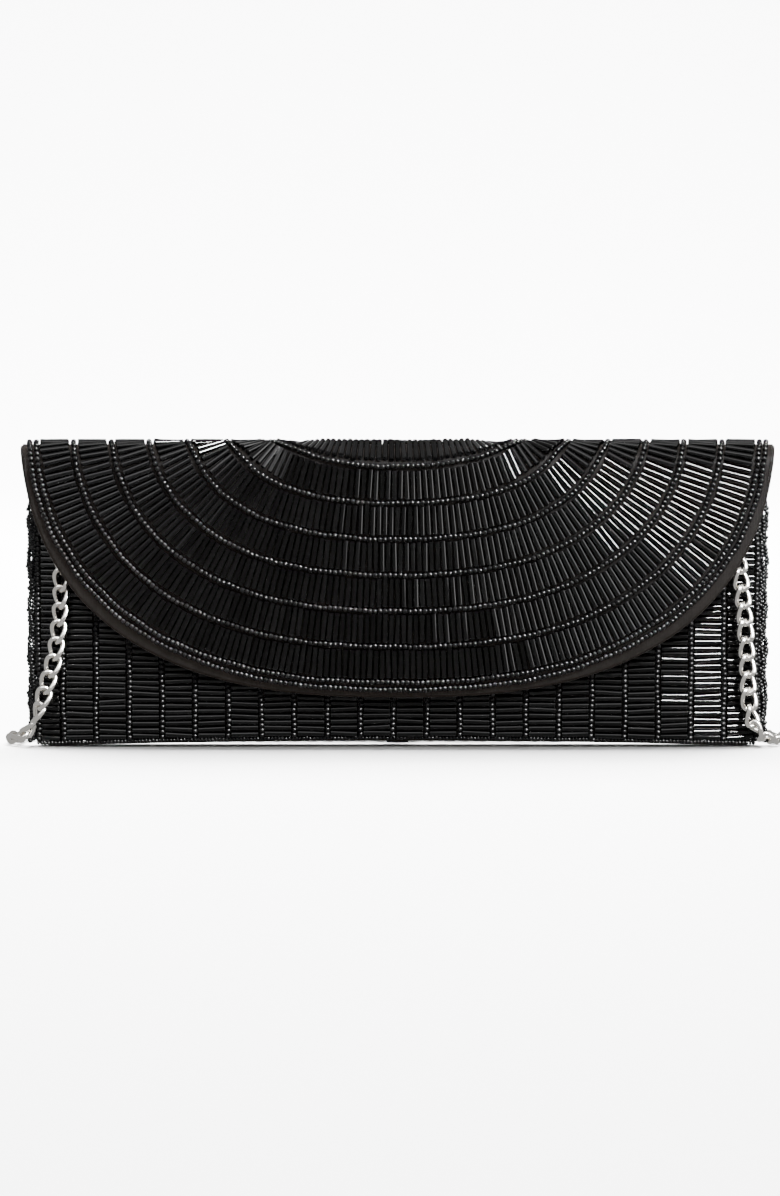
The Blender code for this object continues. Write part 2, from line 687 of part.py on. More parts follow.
def make_tie():
    """A flat satin band round the spare chain."""
    half_height = 0.5 * (HANK_TOP + GAP) - 0.1
    half_depth = HANK_END_R + GAP + 0.3
    corner = TIE_CORNER_R
    centre_z = half_height + TIE_THICK
    section = []
    for y, z, start in ((1, 1, 0.0), (-1, 1, 90.0), (-1, -1, 180.0), (1, -1, 270.0)):
        middle = (HANK_CENTRE_Y + y * (half_depth - corner), centre_z + z * (half_height + 0.05 - corner))
        section += arc(middle, corner, start, start + 90.0, 4)
    bm = bmesh.new()
    verts = [bm.verts.new((-0.5 * TIE_WIDTH * MM, y * MM, z * MM)) for y, z in section]
    edges = [bm.edges.new((verts[i - 1], verts[i])) for i in range(len(verts))]
    swept = bmesh.ops.extrude_edge_only(bm, edges=edges)
    for item in swept["geom"]:
        if isinstance(item, bmesh.types.BMVert):
            item.co.x += TIE_WIDTH * MM
    tie = add_part("chain_tie", mesh_from(bm, "chain_tie"), "satin")
    wall = tie.modifiers.new("band", "SOLIDIFY")
    wall.thickness = TIE_THICK * MM
    wall.offset = 0.0


def make_chain():
    for word, route in (("left", LEFT_ROUTE), ("right", RIGHT_ROUTE)):
        x = route[0][0]
        make_tab(word, x)
        make_ring(word, x)
        make_jump_ring(word, x)
        wire(f"chain_{word}_run", catmull(route, CHAIN_POINT_STEP), 0.5 * CHAIN_THICK, "steel")
    make_hank()
    make_tie()


make_panels()
make_edges()
make_flap()
make_snap()
make_chain()
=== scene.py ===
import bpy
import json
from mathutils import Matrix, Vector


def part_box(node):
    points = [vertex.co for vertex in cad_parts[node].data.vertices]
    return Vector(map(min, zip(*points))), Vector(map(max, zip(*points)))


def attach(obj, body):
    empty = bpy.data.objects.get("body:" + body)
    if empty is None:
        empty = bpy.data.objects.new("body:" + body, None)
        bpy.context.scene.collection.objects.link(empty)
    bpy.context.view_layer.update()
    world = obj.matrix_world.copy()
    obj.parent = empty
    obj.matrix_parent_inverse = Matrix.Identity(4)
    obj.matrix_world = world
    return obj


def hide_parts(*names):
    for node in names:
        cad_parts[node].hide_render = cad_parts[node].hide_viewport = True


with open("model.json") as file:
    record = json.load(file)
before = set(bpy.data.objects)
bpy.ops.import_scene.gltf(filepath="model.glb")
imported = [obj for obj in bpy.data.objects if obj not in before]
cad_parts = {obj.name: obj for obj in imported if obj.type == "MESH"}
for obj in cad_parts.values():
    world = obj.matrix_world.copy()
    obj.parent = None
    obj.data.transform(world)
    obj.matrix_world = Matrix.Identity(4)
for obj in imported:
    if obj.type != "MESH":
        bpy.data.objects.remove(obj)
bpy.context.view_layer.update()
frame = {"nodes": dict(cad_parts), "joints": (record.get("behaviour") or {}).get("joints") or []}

import json
import math
import random

import bmesh
import bpy
import numpy as np
from mathutils import Matrix, Vector

bl_info = {
    "name": "Beaded Envelope Clutch",
    "version": (1, 0, 0),
    "blender": (4, 5, 0),
    "location": "3D View > Sidebar > Clutch",
    "description": "Bead work, satin, hardware and chain around the packed frame of an evening clutch",
    "category": "Object",
}

# The clutch stands with its front towards -Y.  Places below come from the
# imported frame; layers are counted outwards from the satin's outer face.
MM = 0.001
HINGE = Vector(frame["joints"][0]["pos_m"])
BEAD_TOP = 2.3 * MM
BEAD_BASE = 0.3 * MM
FOLD_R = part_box("flap_cover")[1][2] - HINGE.z
FOLD_Y = HINGE.y - BEAD_TOP - FOLD_R
SEAM_Y = sum(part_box("bottom_gusset")[i][1] for i in (0, 1)) / 2.0
BODY_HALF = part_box("front_cover")[1][0]
FRONT_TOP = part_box("front_cover")[1][2]
BACK_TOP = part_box("back_cover")[1][2]
PANEL_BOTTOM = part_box("front_cover")[0][2]
BOTTOM_ARCH = 2.4 * MM
QUARTER = 0.5 * math.pi * FOLD_R
EDGE_DEPTH = 0.9 * MM
FRONT_DEPTHS = ((0.0, 5.3), (4.0, 6.2), (12.0, 7.2), (45.0, 7.2), (97.0, 5.1), (110.0, 4.6))
BACK_DEPTHS = ((0.0, 5.3), (4.0, 6.2), (12.0, 7.2), (75.0, 7.2), (103.6, 6.3), (110.0, 6.0))
FALL = ((-6.0, 0.0), (0.0, 0.0), (23.4, 1.9), (48.4, 3.2), (65.4, 3.2), (87.4, 2.7), (95.0, 2.5))
FALL_STRETCH = 0.9985

# The flap's outline and its rows, as (half width, drop from the hinge line)
OUTLINE = (138.6 * MM, 110.4 * MM)
OUTLINE_POWER = 2.55
BORDER = (137.0 * MM, 108.9 * MM)
ROW = (134.6 * MM, 106.2 * MM)
ROW_STEP = (13.8 * MM, 13.3 * MM)
ROW_COUNT = 8
ROW_POWER = 2.42
COVER_TURN = 0.6 * MM
ROW_MARGIN = 1.0 * MM
FAN_BUGLE = 6.6 * MM
SEAM_PUCKER = 0.1 * MM
SATIN_WALL = 0.5 * MM

# Spacing of the body's bugles and of the picots, and what they leave open
BODY_BUGLE_PITCH = 2.2 * MM
SIDE_PICOT_PITCH = 1.35 * MM
BOTTOM_PICOT_PITCH = 1.3 * MM
SNAP_SEAT = 8.5 * MM
TAB_X = 124.0 * MM
TAB_HALF = 6.5 * MM
TAB_FOOT = 84.0 * MM

# Middles of the hank's two rings of chain, from its long axis
HANK_WIDE = 20.0 * MM
HANK_TIGHT = 13.3 * MM

# The snap's place on the front panel
SNAP = Vector((0.0, 0.0, sum(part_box("snap_magnet")[i][2] for i in (0, 1)) / 2.0))

# Curb chain: where the hanging ends run, repeated from the frame's design
LEFT_ROUTE = (
    (-124.0, -7.5, 85.0), (-124.3, -7.8, 75.0), (-124.6, -8.1, 66.0), (-125.0, -8.4, 52.0),
    (-127.0, -8.4, 35.0), (-130.0, -8.2, 24.0), (-133.0, -8.0, 14.0), (-135.2, -7.4, 8.6),
    (-138.2, -5.6, 4.4), (-141.6, -2.0, 2.3), (-143.4, 3.4, 1.7), (-143.2, 9.6, 1.6),
    (-140.0, 16.4, 1.6), (-133.0, 21.2, 1.6), (-122.0, 23.4, 1.6), (-106.0, 21.4, 1.7),
    (-88.0, 17.0, 2.0), (-71.0, 14.6, 2.1),
)
RIGHT_ROUTE = (
    (124.0, -7.5, 85.0), (125.3, -7.8, 75.0), (126.8, -8.1, 66.0), (128.2, -8.4, 54.0),
    (129.5, -8.3, 36.0), (130.4, -8.2, 18.0), (131.6, -8.0, 9.4), (134.4, -7.2, 4.4),
    (138.2, -4.8, 2.2), (141.6, -0.2, 1.7), (142.8, 6.0, 1.6), (141.2, 12.8, 1.6),
    (136.0, 18.4, 1.6), (127.0, 21.6, 1.6), (112.0, 21.8, 1.6), (96.0, 19.8, 2.3),
    (84.0, 18.4, 4.2), (74.2, 17.9, 5.2),
)
HANK_Y = sum(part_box("chain_hank")[i][1] for i in (0, 1)) / 2.0
HANK_HALF_RUN = 55.0 * MM
LOW_LAYER = 2.1 * MM
TOP_LAYER = 5.3 * MM


# ---------------------------------------------------------------- colours

def srgb(text):
    """An sRGB hex colour as linear red, green and blue."""
    parts = [int(text[i:i + 2], 16) / 255.0 for i in (1, 3, 5)]
    return tuple(p / 12.92 if p <= 0.04045 else ((p + 0.055) / 1.055) ** 2.4 for p in parts)


class ClutchSizes(bpy.types.PropertyGroup):
    bugle_length: bpy.props.FloatProperty(
        name="Bugle length", description="Length of a flap bugle bead",
        default=10.4 * MM, unit="LENGTH", subtype="DISTANCE")
    bugle_width: bpy.props.FloatProperty(
        name="Bugle width", description="Diameter of a bugle bead",
        default=2.1 * MM, unit="LENGTH", subtype="DISTANCE")
    bugle_pitch: bpy.props.FloatProperty(
        name="Bugle pitch", description="Distance between neighbouring bugle beads",
        default=2.28 * MM, unit="LENGTH", subtype="DISTANCE")
    seed_width: bpy.props.FloatProperty(
        name="Seed width", description="Diameter of a seed bead",
        default=2.15 * MM, unit="LENGTH", subtype="DISTANCE")
    seed_pitch: bpy.props.FloatProperty(
        name="Seed pitch", description="Distance between neighbouring seed beads",
        default=1.85 * MM, unit="LENGTH", subtype="DISTANCE")
    column_pitch: bpy.props.FloatProperty(
        name="Column pitch", description="Distance between the body's seed-bead lines",
        default=12.27 * MM, unit="LENGTH", subtype="DISTANCE")
    column_shift: bpy.props.FloatProperty(
        name="Column shift", description="How far the seed-bead lines stand off the middle",
        default=-1.5 * MM, unit="LENGTH", subtype="DISTANCE")
    link_length: bpy.props.FloatProperty(
        name="Link length", description="Outer length of a curb link",
        default=10.0 * MM, unit="LENGTH", subtype="DISTANCE")
    link_width: bpy.props.FloatProperty(
        name="Link width", description="Outer width of a curb link",
        default=7.1 * MM, unit="LENGTH", subtype="DISTANCE")
    link_wire: bpy.props.FloatProperty(
        name="Link wire", description="Diameter of the links' wire",
        default=1.95 * MM, unit="LENGTH", subtype="DISTANCE")
    link_pitch: bpy.props.FloatProperty(
        name="Link pitch", description="Distance from link to link along the chain",
        default=6.45 * MM, unit="LENGTH", subtype="DISTANCE")


class ClutchColours(bpy.types.PropertyGroup):
    glass: bpy.props.FloatVectorProperty(
        name="Jet glass", description="Colour of the glass beads",
        default=srgb("#040404"), subtype="COLOR", min=0.0, max=1.0)
    satin: bpy.props.FloatVectorProperty(
        name="Satin", description="Colour of the duchess satin",
        default=srgb("#100d0b"), subtype="COLOR", min=0.0, max=1.0)
    lining: bpy.props.FloatVectorProperty(
        name="Lining", description="Colour of the lining satin",
        default=srgb("#1a1819"), subtype="COLOR", min=0.0, max=1.0)
    board: bpy.props.FloatVectorProperty(
        name="Bag board", description="Colour of the stiffening board",
        default=srgb("#211d1a"), subtype="COLOR", min=0.0, max=1.0)
    ribbon: bpy.props.FloatVectorProperty(
        name="Ribbon", description="Colour of the blank woven label",
        default=srgb("#b9b2a4"), subtype="COLOR", min=0.0, max=1.0)
    plate: bpy.props.FloatVectorProperty(
        name="Plating", description="Colour of the polished plated metal",
        default=srgb("#dcd9d3"), subtype="COLOR", min=0.0, max=1.0)
    ferrite: bpy.props.FloatVectorProperty(
        name="Ferrite", description="Colour of the sintered magnet",
        default=srgb("#3b3b3e"), subtype="COLOR", min=0.0, max=1.0)
    sweep: bpy.props.FloatVectorProperty(
        name="Studio paper", description="Colour of the paper sweep",
        default=srgb("#f4f4f4"), subtype="COLOR", min=0.0, max=1.0)


def sizes():
    return bpy.context.scene.clutch_sizes


def colours():
    return bpy.context.scene.clutch_colours


# -------------------------------------------------------------- materials

def add_node(tree, kind, settings=None, inputs=None):
    """One shader node with its settings, and its inputs as values or links."""
    node = tree.nodes.new(kind)
    for name, value in (settings or {}).items():
        setattr(node, name, value)
    for name, value in (inputs or {}).items():
        socket = node.inputs[name]
        if isinstance(value, bpy.types.NodeSocket):
            tree.links.new(value, socket)
        else:
            socket.default_value = value
    return node


def new_material(name, colour, roughness, metallic=0.0):
    """An empty Principled material; returns it with its tree and shader."""
    material = bpy.data.materials.get(name)
    if material:
        return material, None, None
    material = bpy.data.materials.new(name)
    material.use_nodes = True
    tree = material.node_tree
    shader = tree.nodes["Principled BSDF"]
    shader.inputs["Base Color"].default_value = (*colour, 1.0)
    shader.inputs["Roughness"].default_value = roughness
    shader.inputs["Metallic"].default_value = metallic
    return material, tree, shader


def object_coords(tree, scale):
    """Object coordinates in metres, scaled."""
    source = add_node(tree, "ShaderNodeTexCoord")
    return add_node(tree, "ShaderNodeMapping", inputs={"Vector": source.outputs["Object"], "Scale": scale})


def jet_glass(name="jet_glass", smoothest=0.015, roughest=0.07):
    """Opaque black pressed glass, fire polished.  Each bead has its own
    slight tone, and the drawn glass is faintly uneven, which breaks up the
    reflections from bead to bead."""
    material, tree, shader = new_material(name, colours().glass, roughest)
    if tree is None:
        return material
    shader.inputs["IOR"].default_value = 1.55
    shader.inputs["Specular IOR Level"].default_value = 0.15
    tone = add_node(tree, "ShaderNodeAttribute", {"attribute_name": "bead_tone"})
    dark = tuple(c * 0.55 for c in colours().glass)
    light = tuple(c * 1.9 for c in colours().glass)
    mixed = add_node(tree, "ShaderNodeMix", {"data_type": "RGBA"}, {"Factor": tone.outputs["Fac"]})
    mixed.inputs["A"].default_value = (*dark, 1.0)
    mixed.inputs["B"].default_value = (*light, 1.0)
    tree.links.new(mixed.outputs["Result"], shader.inputs["Base Color"])
    gloss = add_node(tree, "ShaderNodeMapRange", inputs={
        "Value": tone.outputs["Fac"], "To Min": smoothest, "To Max": roughest})
    tree.links.new(gloss.outputs["Result"], shader.inputs["Roughness"])
    # waviness of drawn glass, about 2.5 mm long
    place = object_coords(tree, (400.0, 400.0, 400.0))
    waves = add_node(tree, "ShaderNodeTexNoise", inputs={
        "Vector": place.outputs["Vector"], "Scale": 1.0, "Detail": 1.0})
    bump = add_node(tree, "ShaderNodeBump", inputs={
        "Strength": 0.04, "Distance": 0.0002, "Height": waves.outputs["Fac"]})
    tree.links.new(bump.outputs["Normal"], shader.inputs["Normal"])
    return material


def frosted_glass():
    """Black glass with a light etch, so its highlights are dull."""
    return jet_glass("frosted_jet_glass", 0.3, 0.42)


def satin(name, colour, thread_mm, roughness):
    """Woven satin: a soft sheen, long floats across the cloth and a fine
    cross rib.  Real threads are about 0.1 mm, too fine to show, so the
    weave is drawn at thread_mm."""
    material, tree, shader = new_material(name, colour, roughness)
    if tree is None:
        return material
    shader.inputs["Sheen Weight"].default_value = 0.03
    shader.inputs["Sheen Roughness"].default_value = 0.35
    shader.inputs["Specular IOR Level"].default_value = 0.03
    per_metre = 1000.0 / thread_mm
    place = object_coords(tree, (per_metre, per_metre, per_metre))
    floats = add_node(tree, "ShaderNodeTexWave", {"wave_type": "BANDS", "bands_direction": "Z"}, {
        "Vector": place.outputs["Vector"], "Scale": 0.31, "Distortion": 0.6, "Detail": 1.0})
    rib = add_node(tree, "ShaderNodeTexWave", {"wave_type": "BANDS", "bands_direction": "X"}, {
        "Vector": place.outputs["Vector"], "Scale": 0.16, "Distortion": 0.8, "Detail": 1.0})
    weave = add_node(tree, "ShaderNodeMath", {"operation": "MULTIPLY"})
    tree.links.new(floats.outputs["Fac"], weave.inputs[0])
    tree.links.new(rib.outputs["Fac"], weave.inputs[1])
    # slubs and handling marks, about 6 mm
    soft_place = object_coords(tree, (160.0, 160.0, 160.0))
    slubs = add_node(tree, "ShaderNodeTexNoise", inputs={
        "Vector": soft_place.outputs["Vector"], "Scale": 1.0, "Detail": 3.0})
    darker = tuple(c * 0.7 for c in colour)
    lighter = tuple(min(1.0, c * 1.35) for c in colour)
    tinted = add_node(tree, "ShaderNodeMix", {"data_type": "RGBA"}, {"Factor": slubs.outputs["Fac"]})
    tinted.inputs["A"].default_value = (*darker, 1.0)
    tinted.inputs["B"].default_value = (*lighter, 1.0)
    tree.links.new(tinted.outputs["Result"], shader.inputs["Base Color"])
    gloss = add_node(tree, "ShaderNodeMapRange", inputs={
        "Value": weave.outputs["Value"], "To Min": roughness + 0.08, "To Max": roughness - 0.06})
    tree.links.new(gloss.outputs["Result"], shader.inputs["Roughness"])
    fine = add_node(tree, "ShaderNodeBump", inputs={
        "Strength": 0.35, "Distance": 0.00008, "Height": weave.outputs["Value"]})
    broad = add_node(tree, "ShaderNodeBump", inputs={
        "Strength": 0.25, "Distance": 0.0004, "Height": slubs.outputs["Fac"],
        "Normal": fine.outputs["Normal"]})
    tree.links.new(broad.outputs["Normal"], shader.inputs["Normal"])
    return material


def duchess_satin():
    return satin("duchess_satin", colours().satin, 0.3, 0.5)


def lining_satin():
    return satin("acetate_lining_satin", colours().lining, 0.35, 0.42)


def label_ribbon():
    return satin("woven_ribbon", colours().ribbon, 0.4, 0.6)


def bag_board():
    """Pressed black bag board: matt, with short fibres and specks."""
    material, tree, shader = new_material("pressed_bag_board", colours().board, 0.9)
    if tree is None:
        return material
    place = object_coords(tree, (900.0, 900.0, 900.0))
    fibres = add_node(tree, "ShaderNodeTexNoise", inputs={
        "Vector": place.outputs["Vector"], "Scale": 1.0, "Detail": 4.0, "Roughness": 0.7})
    tinted = add_node(tree, "ShaderNodeMix", {"data_type": "RGBA"}, {"Factor": fibres.outputs["Fac"]})
    tinted.inputs["A"].default_value = (*tuple(c * 0.75 for c in colours().board), 1.0)
    tinted.inputs["B"].default_value = (*tuple(min(1.0, c * 1.2) for c in colours().board), 1.0)
    tree.links.new(tinted.outputs["Result"], shader.inputs["Base Color"])
    bump = add_node(tree, "ShaderNodeBump", inputs={
        "Strength": 0.5, "Distance": 0.0001, "Height": fibres.outputs["Fac"]})
    tree.links.new(bump.outputs["Normal"], shader.inputs["Normal"])
    return material


def plated_steel(name, colour, low, high):
    """Polished nickel plate: bright, with hairline marks from tumbling
    that dull it in patches."""
    material, tree, shader = new_material(name, colour, low, 1.0)
    if tree is None:
        return material
    place = object_coords(tree, (1400.0, 1400.0, 1400.0))
    marks = add_node(tree, "ShaderNodeTexNoise", inputs={
        "Vector": place.outputs["Vector"], "Scale": 1.0, "Detail": 3.0, "Distortion": 0.4})
    gloss = add_node(tree, "ShaderNodeMapRange", inputs={
        "Value": marks.outputs["Fac"], "From Min": 0.3, "From Max": 0.75, "To Min": low, "To Max": high})
    tree.links.new(gloss.outputs["Result"], shader.inputs["Roughness"])
    bump = add_node(tree, "ShaderNodeBump", inputs={
        "Strength": 0.06, "Distance": 0.0001, "Height": marks.outputs["Fac"]})
    tree.links.new(bump.outputs["Normal"], shader.inputs["Normal"])
    return material


def bright_plate():
    return plated_steel("polished_nickel_plate", colours().plate, 0.09, 0.24)


def brushed_plate():
    return plated_steel("pressed_nickel_plate", colours().plate, 0.22, 0.4)


def sintered_ferrite():
    return plated_steel("sintered_ferrite", colours().ferrite, 0.45, 0.65)


# --------------------------------------------------------- surfaces

def smooth_table(value, table):
    """A smooth curve through (place, height) pairs given in millimetres."""
    value = value / MM
    points = list(table)
    index = 0
    while index < len(points) - 2 and value > points[index + 1][0]:
        index += 1
    before = points[max(index - 1, 0)]
    start, end = points[index], points[index + 1]
    after = points[min(index + 2, len(points) - 1)]
    width = end[0] - start[0]
    share = min(max((value - start[0]) / width, 0.0), 1.0)
    slope_in = (end[1] - before[1]) / (end[0] - before[0]) * width
    slope_out = (after[1] - start[1]) / (after[0] - start[0]) * width
    square, cube = share ** 2, share ** 3
    height = ((2 * cube - 3 * square + 1) * start[1] + (cube - 2 * square + share) * slope_in
              + (3 * square - 2 * cube) * end[1] + (cube - square) * slope_out)
    return height * MM


def panel(side, table):
    """The surface of a body panel as a function of (x, z, outwards)."""

    def surface(x, z, out):
        share = max(0.0, 1.0 - abs(x / BODY_HALF) ** 5.0) ** 0.6
        depth = EDGE_DEPTH + (smooth_table(z, table) - EDGE_DEPTH) * share
        return Vector((x, SEAM_Y + side * (depth + out), z))

    return surface


def flap(x, s, out):
    """The folded flap's surface; s runs from the apex, positive to the front."""
    if s <= QUARTER:
        angle = 0.5 * math.pi + s / FOLD_R
        reach = FOLD_R + out
        return Vector((x, FOLD_Y + reach * math.cos(angle), HINGE.z + reach * math.sin(angle)))
    drop = (s - QUARTER) * FALL_STRETCH
    forward = smooth_table(drop, FALL)
    lean = (smooth_table(drop + 0.2 * MM, FALL) - smooth_table(drop - 0.2 * MM, FALL)) / (0.4 * MM)
    normal = Vector((-1.0, -lean)).normalized()
    return Vector((x, FOLD_Y - FOLD_R - forward + normal.x * out, HINGE.z - drop + normal.y * out))


front_panel = panel(-1.0, FRONT_DEPTHS)
back_panel = panel(1.0, BACK_DEPTHS)


def arch(x):
    """How far the bottom edge is drawn up between the two corners."""
    return BOTTOM_ARCH * max(0.0, 1.0 - (x / BODY_HALF) ** 2)


def bead_place(surface, u, v, turn, lift, size, roll=0.0, tip=0.0):
    """A bead's matrix: its hole runs at angle turn from the u direction,
    from end to end of the bead.  One end stands up by tip and the other
    dips by it, and over a fold the bead beds in a little."""
    step = 0.05 * MM
    reach_u, reach_v = 0.5 * size[0] * math.cos(turn), 0.5 * size[0] * math.sin(turn)
    start = surface(u - reach_u, v - reach_v, lift - tip)
    end = surface(u + reach_u, v + reach_v, lift + tip)
    outward = (surface(u, v, lift + step) - surface(u, v, lift)).normalized()
    hole = (end - start).normalized()
    across = outward.cross(hole).normalized()
    normal = hole.cross(across)
    matrix = Matrix.Identity(4)
    for column, (axis, scale) in enumerate(zip((hole, across, normal), size)):
        matrix.col[column][:3] = axis * scale
    matrix.col[3][:3] = surface(u, v, lift).lerp((start + end) / 2.0, 0.6)
    return matrix @ Matrix.Rotation(roll, 4, "X")


def superellipse(size, power, angle):
    """A point (x, s) of the flat flap's curved rows."""
    cosine, sine = math.cos(angle), max(0.0, math.sin(angle))
    x = math.copysign(abs(cosine) ** (2.0 / power), cosine) * size[0]
    return x, -QUARTER + size[1] * sine ** (2.0 / power)


def even_row(size, power, pitch, margin):
    """Evenly spaced (x, s, direction) along a row, margin in from each end."""
    fine = [Vector(superellipse(size, power, math.pi * i / 720)) for i in range(721)]
    travelled = [0.0]
    for start, end in zip(fine, fine[1:]):
        travelled.append(travelled[-1] + (end - start).length)
    usable = travelled[-1] - 2.0 * margin
    count = max(1, round(usable / pitch))
    row = []
    index = 0
    for number in range(count):
        target = margin + usable * (number + 0.5) / count
        while travelled[index + 1] < target:
            index += 1
        share = (target - travelled[index]) / (travelled[index + 1] - travelled[index])
        spot = fine[index].lerp(fine[index + 1], share)
        heading = fine[min(index + 4, 720)] - fine[max(index - 3, 0)]
        row.append((spot.x, spot.y, math.atan2(heading.y, heading.x)))
    return row


# ------------------------------------------------------------- modelling

def clear_selection():
    if bpy.context.object and bpy.context.object.mode != "OBJECT":
        bpy.ops.object.mode_set(mode="OBJECT")
    bpy.ops.object.select_all(action="DESELECT")


def make_active(obj):
    clear_selection()
    obj.select_set(True)
    bpy.context.view_layer.objects.active = obj


def apply_all(obj):
    make_active(obj)
    for modifier in list(obj.modifiers):
        bpy.ops.object.modifier_apply(modifier=modifier.name)


def discard(obj):
    bpy.data.objects.remove(obj, do_unlink=True)


def dress(obj, material, body, *nodes):
    """Gives a finished piece its material, its body and the nodes it stands for."""
    obj.data.materials.clear()
    obj.data.materials.append(material)
    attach(obj, body)
    if nodes:
        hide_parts(*nodes)
    return obj


def bugle_bead():
    """One bugle bead along X, 1 long and 1 thick: a drawn tube with softly
    broken ends and a sunken hole."""
    clear_selection()
    bpy.ops.mesh.primitive_cylinder_add(vertices=9, radius=0.5, depth=1.0,
                                        rotation=(0.0, math.radians(90.0), 0.0))
    bead = bpy.context.object
    bpy.ops.object.transform_apply(location=False, rotation=True, scale=True)
    bpy.ops.object.mode_set(mode="EDIT")
    bpy.ops.mesh.select_all(action="DESELECT")
    shape = bmesh.from_edit_mesh(bead.data)
    for face in shape.faces:
        face.select = abs(face.normal.x) > 0.9
    bmesh.update_edit_mesh(bead.data)
    bpy.ops.mesh.inset(thickness=0.1, depth=0.0)
    bpy.ops.transform.resize(value=(1.028, 1.0, 1.0))
    bpy.ops.mesh.inset(thickness=0.2, depth=-0.015)
    bpy.ops.object.mode_set(mode="OBJECT")
    bead.name = "bugle_bead_master"
    return bead


def seed_bead():
    """One seed bead with its hole along X, 1 thick and 0.85 long: a small
    round ring of glass."""
    clear_selection()
    bpy.ops.mesh.primitive_torus_add(major_segments=9, minor_segments=6, major_radius=0.28,
                                     minor_radius=0.22, rotation=(0.0, math.radians(90.0), 0.0))
    bead = bpy.context.object
    bpy.ops.object.transform_apply(location=False, rotation=True, scale=True)
    bpy.ops.object.mode_set(mode="EDIT")
    bpy.ops.mesh.select_all(action="SELECT")
    bpy.ops.transform.resize(value=(1.95, 1.0, 1.0))
    bpy.ops.object.mode_set(mode="OBJECT")
    bead.name = "seed_bead_master"
    return bead


def strung(name, master, places, seed, cut_ends=False):
    """One mesh with a copy of the master at each place, each with its tone;
    cut_ends keeps the rims of cut tubes crisp."""
    tones = random.Random(seed)
    shape = np.array([v.co[:] for v in master.data.vertices])
    faces = [tuple(face.vertices) for face in master.data.polygons]
    matrices = np.array([[list(row) for row in place] for place in places])
    points = np.einsum("nij,vj->nvi", matrices[:, :3, :3], shape) + matrices[:, None, :3, 3]
    count = len(shape)
    all_faces = [tuple(i + count * n for i in face) for n in range(len(places)) for face in faces]
    mesh = bpy.data.meshes.new(name)
    mesh.from_pydata(points.reshape(-1, 3).tolist(), [], all_faces)
    mesh.polygons.foreach_set("use_smooth", [True] * len(all_faces))
    if cut_ends:
        mesh.set_sharp_from_angle(angle=math.radians(50.0))
    tone = mesh.attributes.new("bead_tone", "FLOAT", "POINT")
    values = np.repeat([tones.random() for _ in places], count)
    tone.data.foreach_set("value", values.astype(np.float32))
    mesh.update()
    piece = bpy.data.objects.new(name, mesh)
    bpy.context.scene.collection.objects.link(piece)
    return piece


def wire_piece(name, points, radius, cyclic=False, sides=3):
    """A round wire, roll or cord through close points, as a mesh."""
    curve = bpy.data.curves.new(name, "CURVE")
    curve.dimensions = "3D"
    curve.bevel_depth = radius
    curve.bevel_resolution = sides
    curve.use_fill_caps = not cyclic
    spline = curve.splines.new("POLY")
    spline.points.add(len(points) - 1)
    for point, place in zip(spline.points, points):
        point.co = (*place, 1.0)
    spline.use_cyclic_u = cyclic
    piece = bpy.data.objects.new(name, curve)
    bpy.context.scene.collection.objects.link(piece)
    make_active(piece)
    bpy.ops.object.convert(target="MESH")
    piece = bpy.context.object
    bpy.ops.object.mode_set(mode="EDIT")
    bpy.ops.mesh.select_all(action="SELECT")
    bpy.ops.mesh.remove_doubles(threshold=1e-7)
    bpy.ops.mesh.normals_make_consistent(inside=False)
    bpy.ops.object.mode_set(mode="OBJECT")
    bpy.ops.object.shade_smooth_by_angle(angle=math.radians(50.0))
    return piece


def cloth_piece(name, columns, rows, place, wall, outwards_hint):
    """A grid of cloth laid out by place(u, v), u and v from 0 to 1, then
    given its thickness inwards."""
    clear_selection()
    bpy.ops.mesh.primitive_grid_add(x_subdivisions=columns, y_subdivisions=rows, size=1.0)
    piece = bpy.context.object
    piece.name = name
    for vertex in piece.data.vertices:
        vertex.co = place(vertex.co.x + 0.5, vertex.co.y + 0.5)
    middle = piece.data.polygons[len(piece.data.polygons) // 2]
    if middle.normal.dot(Vector(outwards_hint)) < 0.0:
        bpy.ops.object.mode_set(mode="EDIT")
        bpy.ops.mesh.select_all(action="SELECT")
        bpy.ops.mesh.flip_normals()
        bpy.ops.object.mode_set(mode="OBJECT")
    solid = piece.modifiers.new("cloth", "SOLIDIFY")
    solid.thickness = wall
    solid.offset = -1.0
    solid.use_even_offset = True
    apply_all(piece)
    bpy.ops.object.shade_smooth_by_angle(angle=math.radians(50.0))
    return piece


def turned_piece(name, profile, centre, steps=48):
    """A closed (radius, distance) outline turned about an axis along Y."""
    clear_selection()
    mesh = bpy.data.meshes.new(name)
    points = [Vector((radius, reach, 0.0)) for radius, reach in profile]
    edges = [(i, i + 1) for i in range(len(points) - 1)]
    if profile[0][0] > 0.0:
        edges.append((len(points) - 1, 0))
    mesh.from_pydata(points, edges, [])
    piece = bpy.data.objects.new(name, mesh)
    bpy.context.scene.collection.objects.link(piece)
    make_active(piece)
    bpy.ops.object.mode_set(mode="EDIT")
    bpy.ops.mesh.select_all(action="SELECT")
    bpy.ops.mesh.spin(steps=steps, angle=2.0 * math.pi, center=(0.0, 0.0, 0.0), axis=(0.0, 1.0, 0.0))
    bpy.ops.mesh.select_all(action="SELECT")
    bpy.ops.mesh.remove_doubles(threshold=1e-6)
    bpy.ops.mesh.normals_make_consistent(inside=False)
    bpy.ops.object.mode_set(mode="OBJECT")
    piece.location = centre
    bpy.ops.object.transform_apply(location=True, rotation=False, scale=False)
    soft = piece.modifiers.new("edges", "BEVEL")
    soft.width = 0.12 * MM
    soft.segments = 2
    soft.limit_method = "ANGLE"
    apply_all(piece)
    bpy.ops.object.shade_smooth_by_angle(angle=math.radians(35.0))
    return piece


# ------------------------------------------------------------ the stage

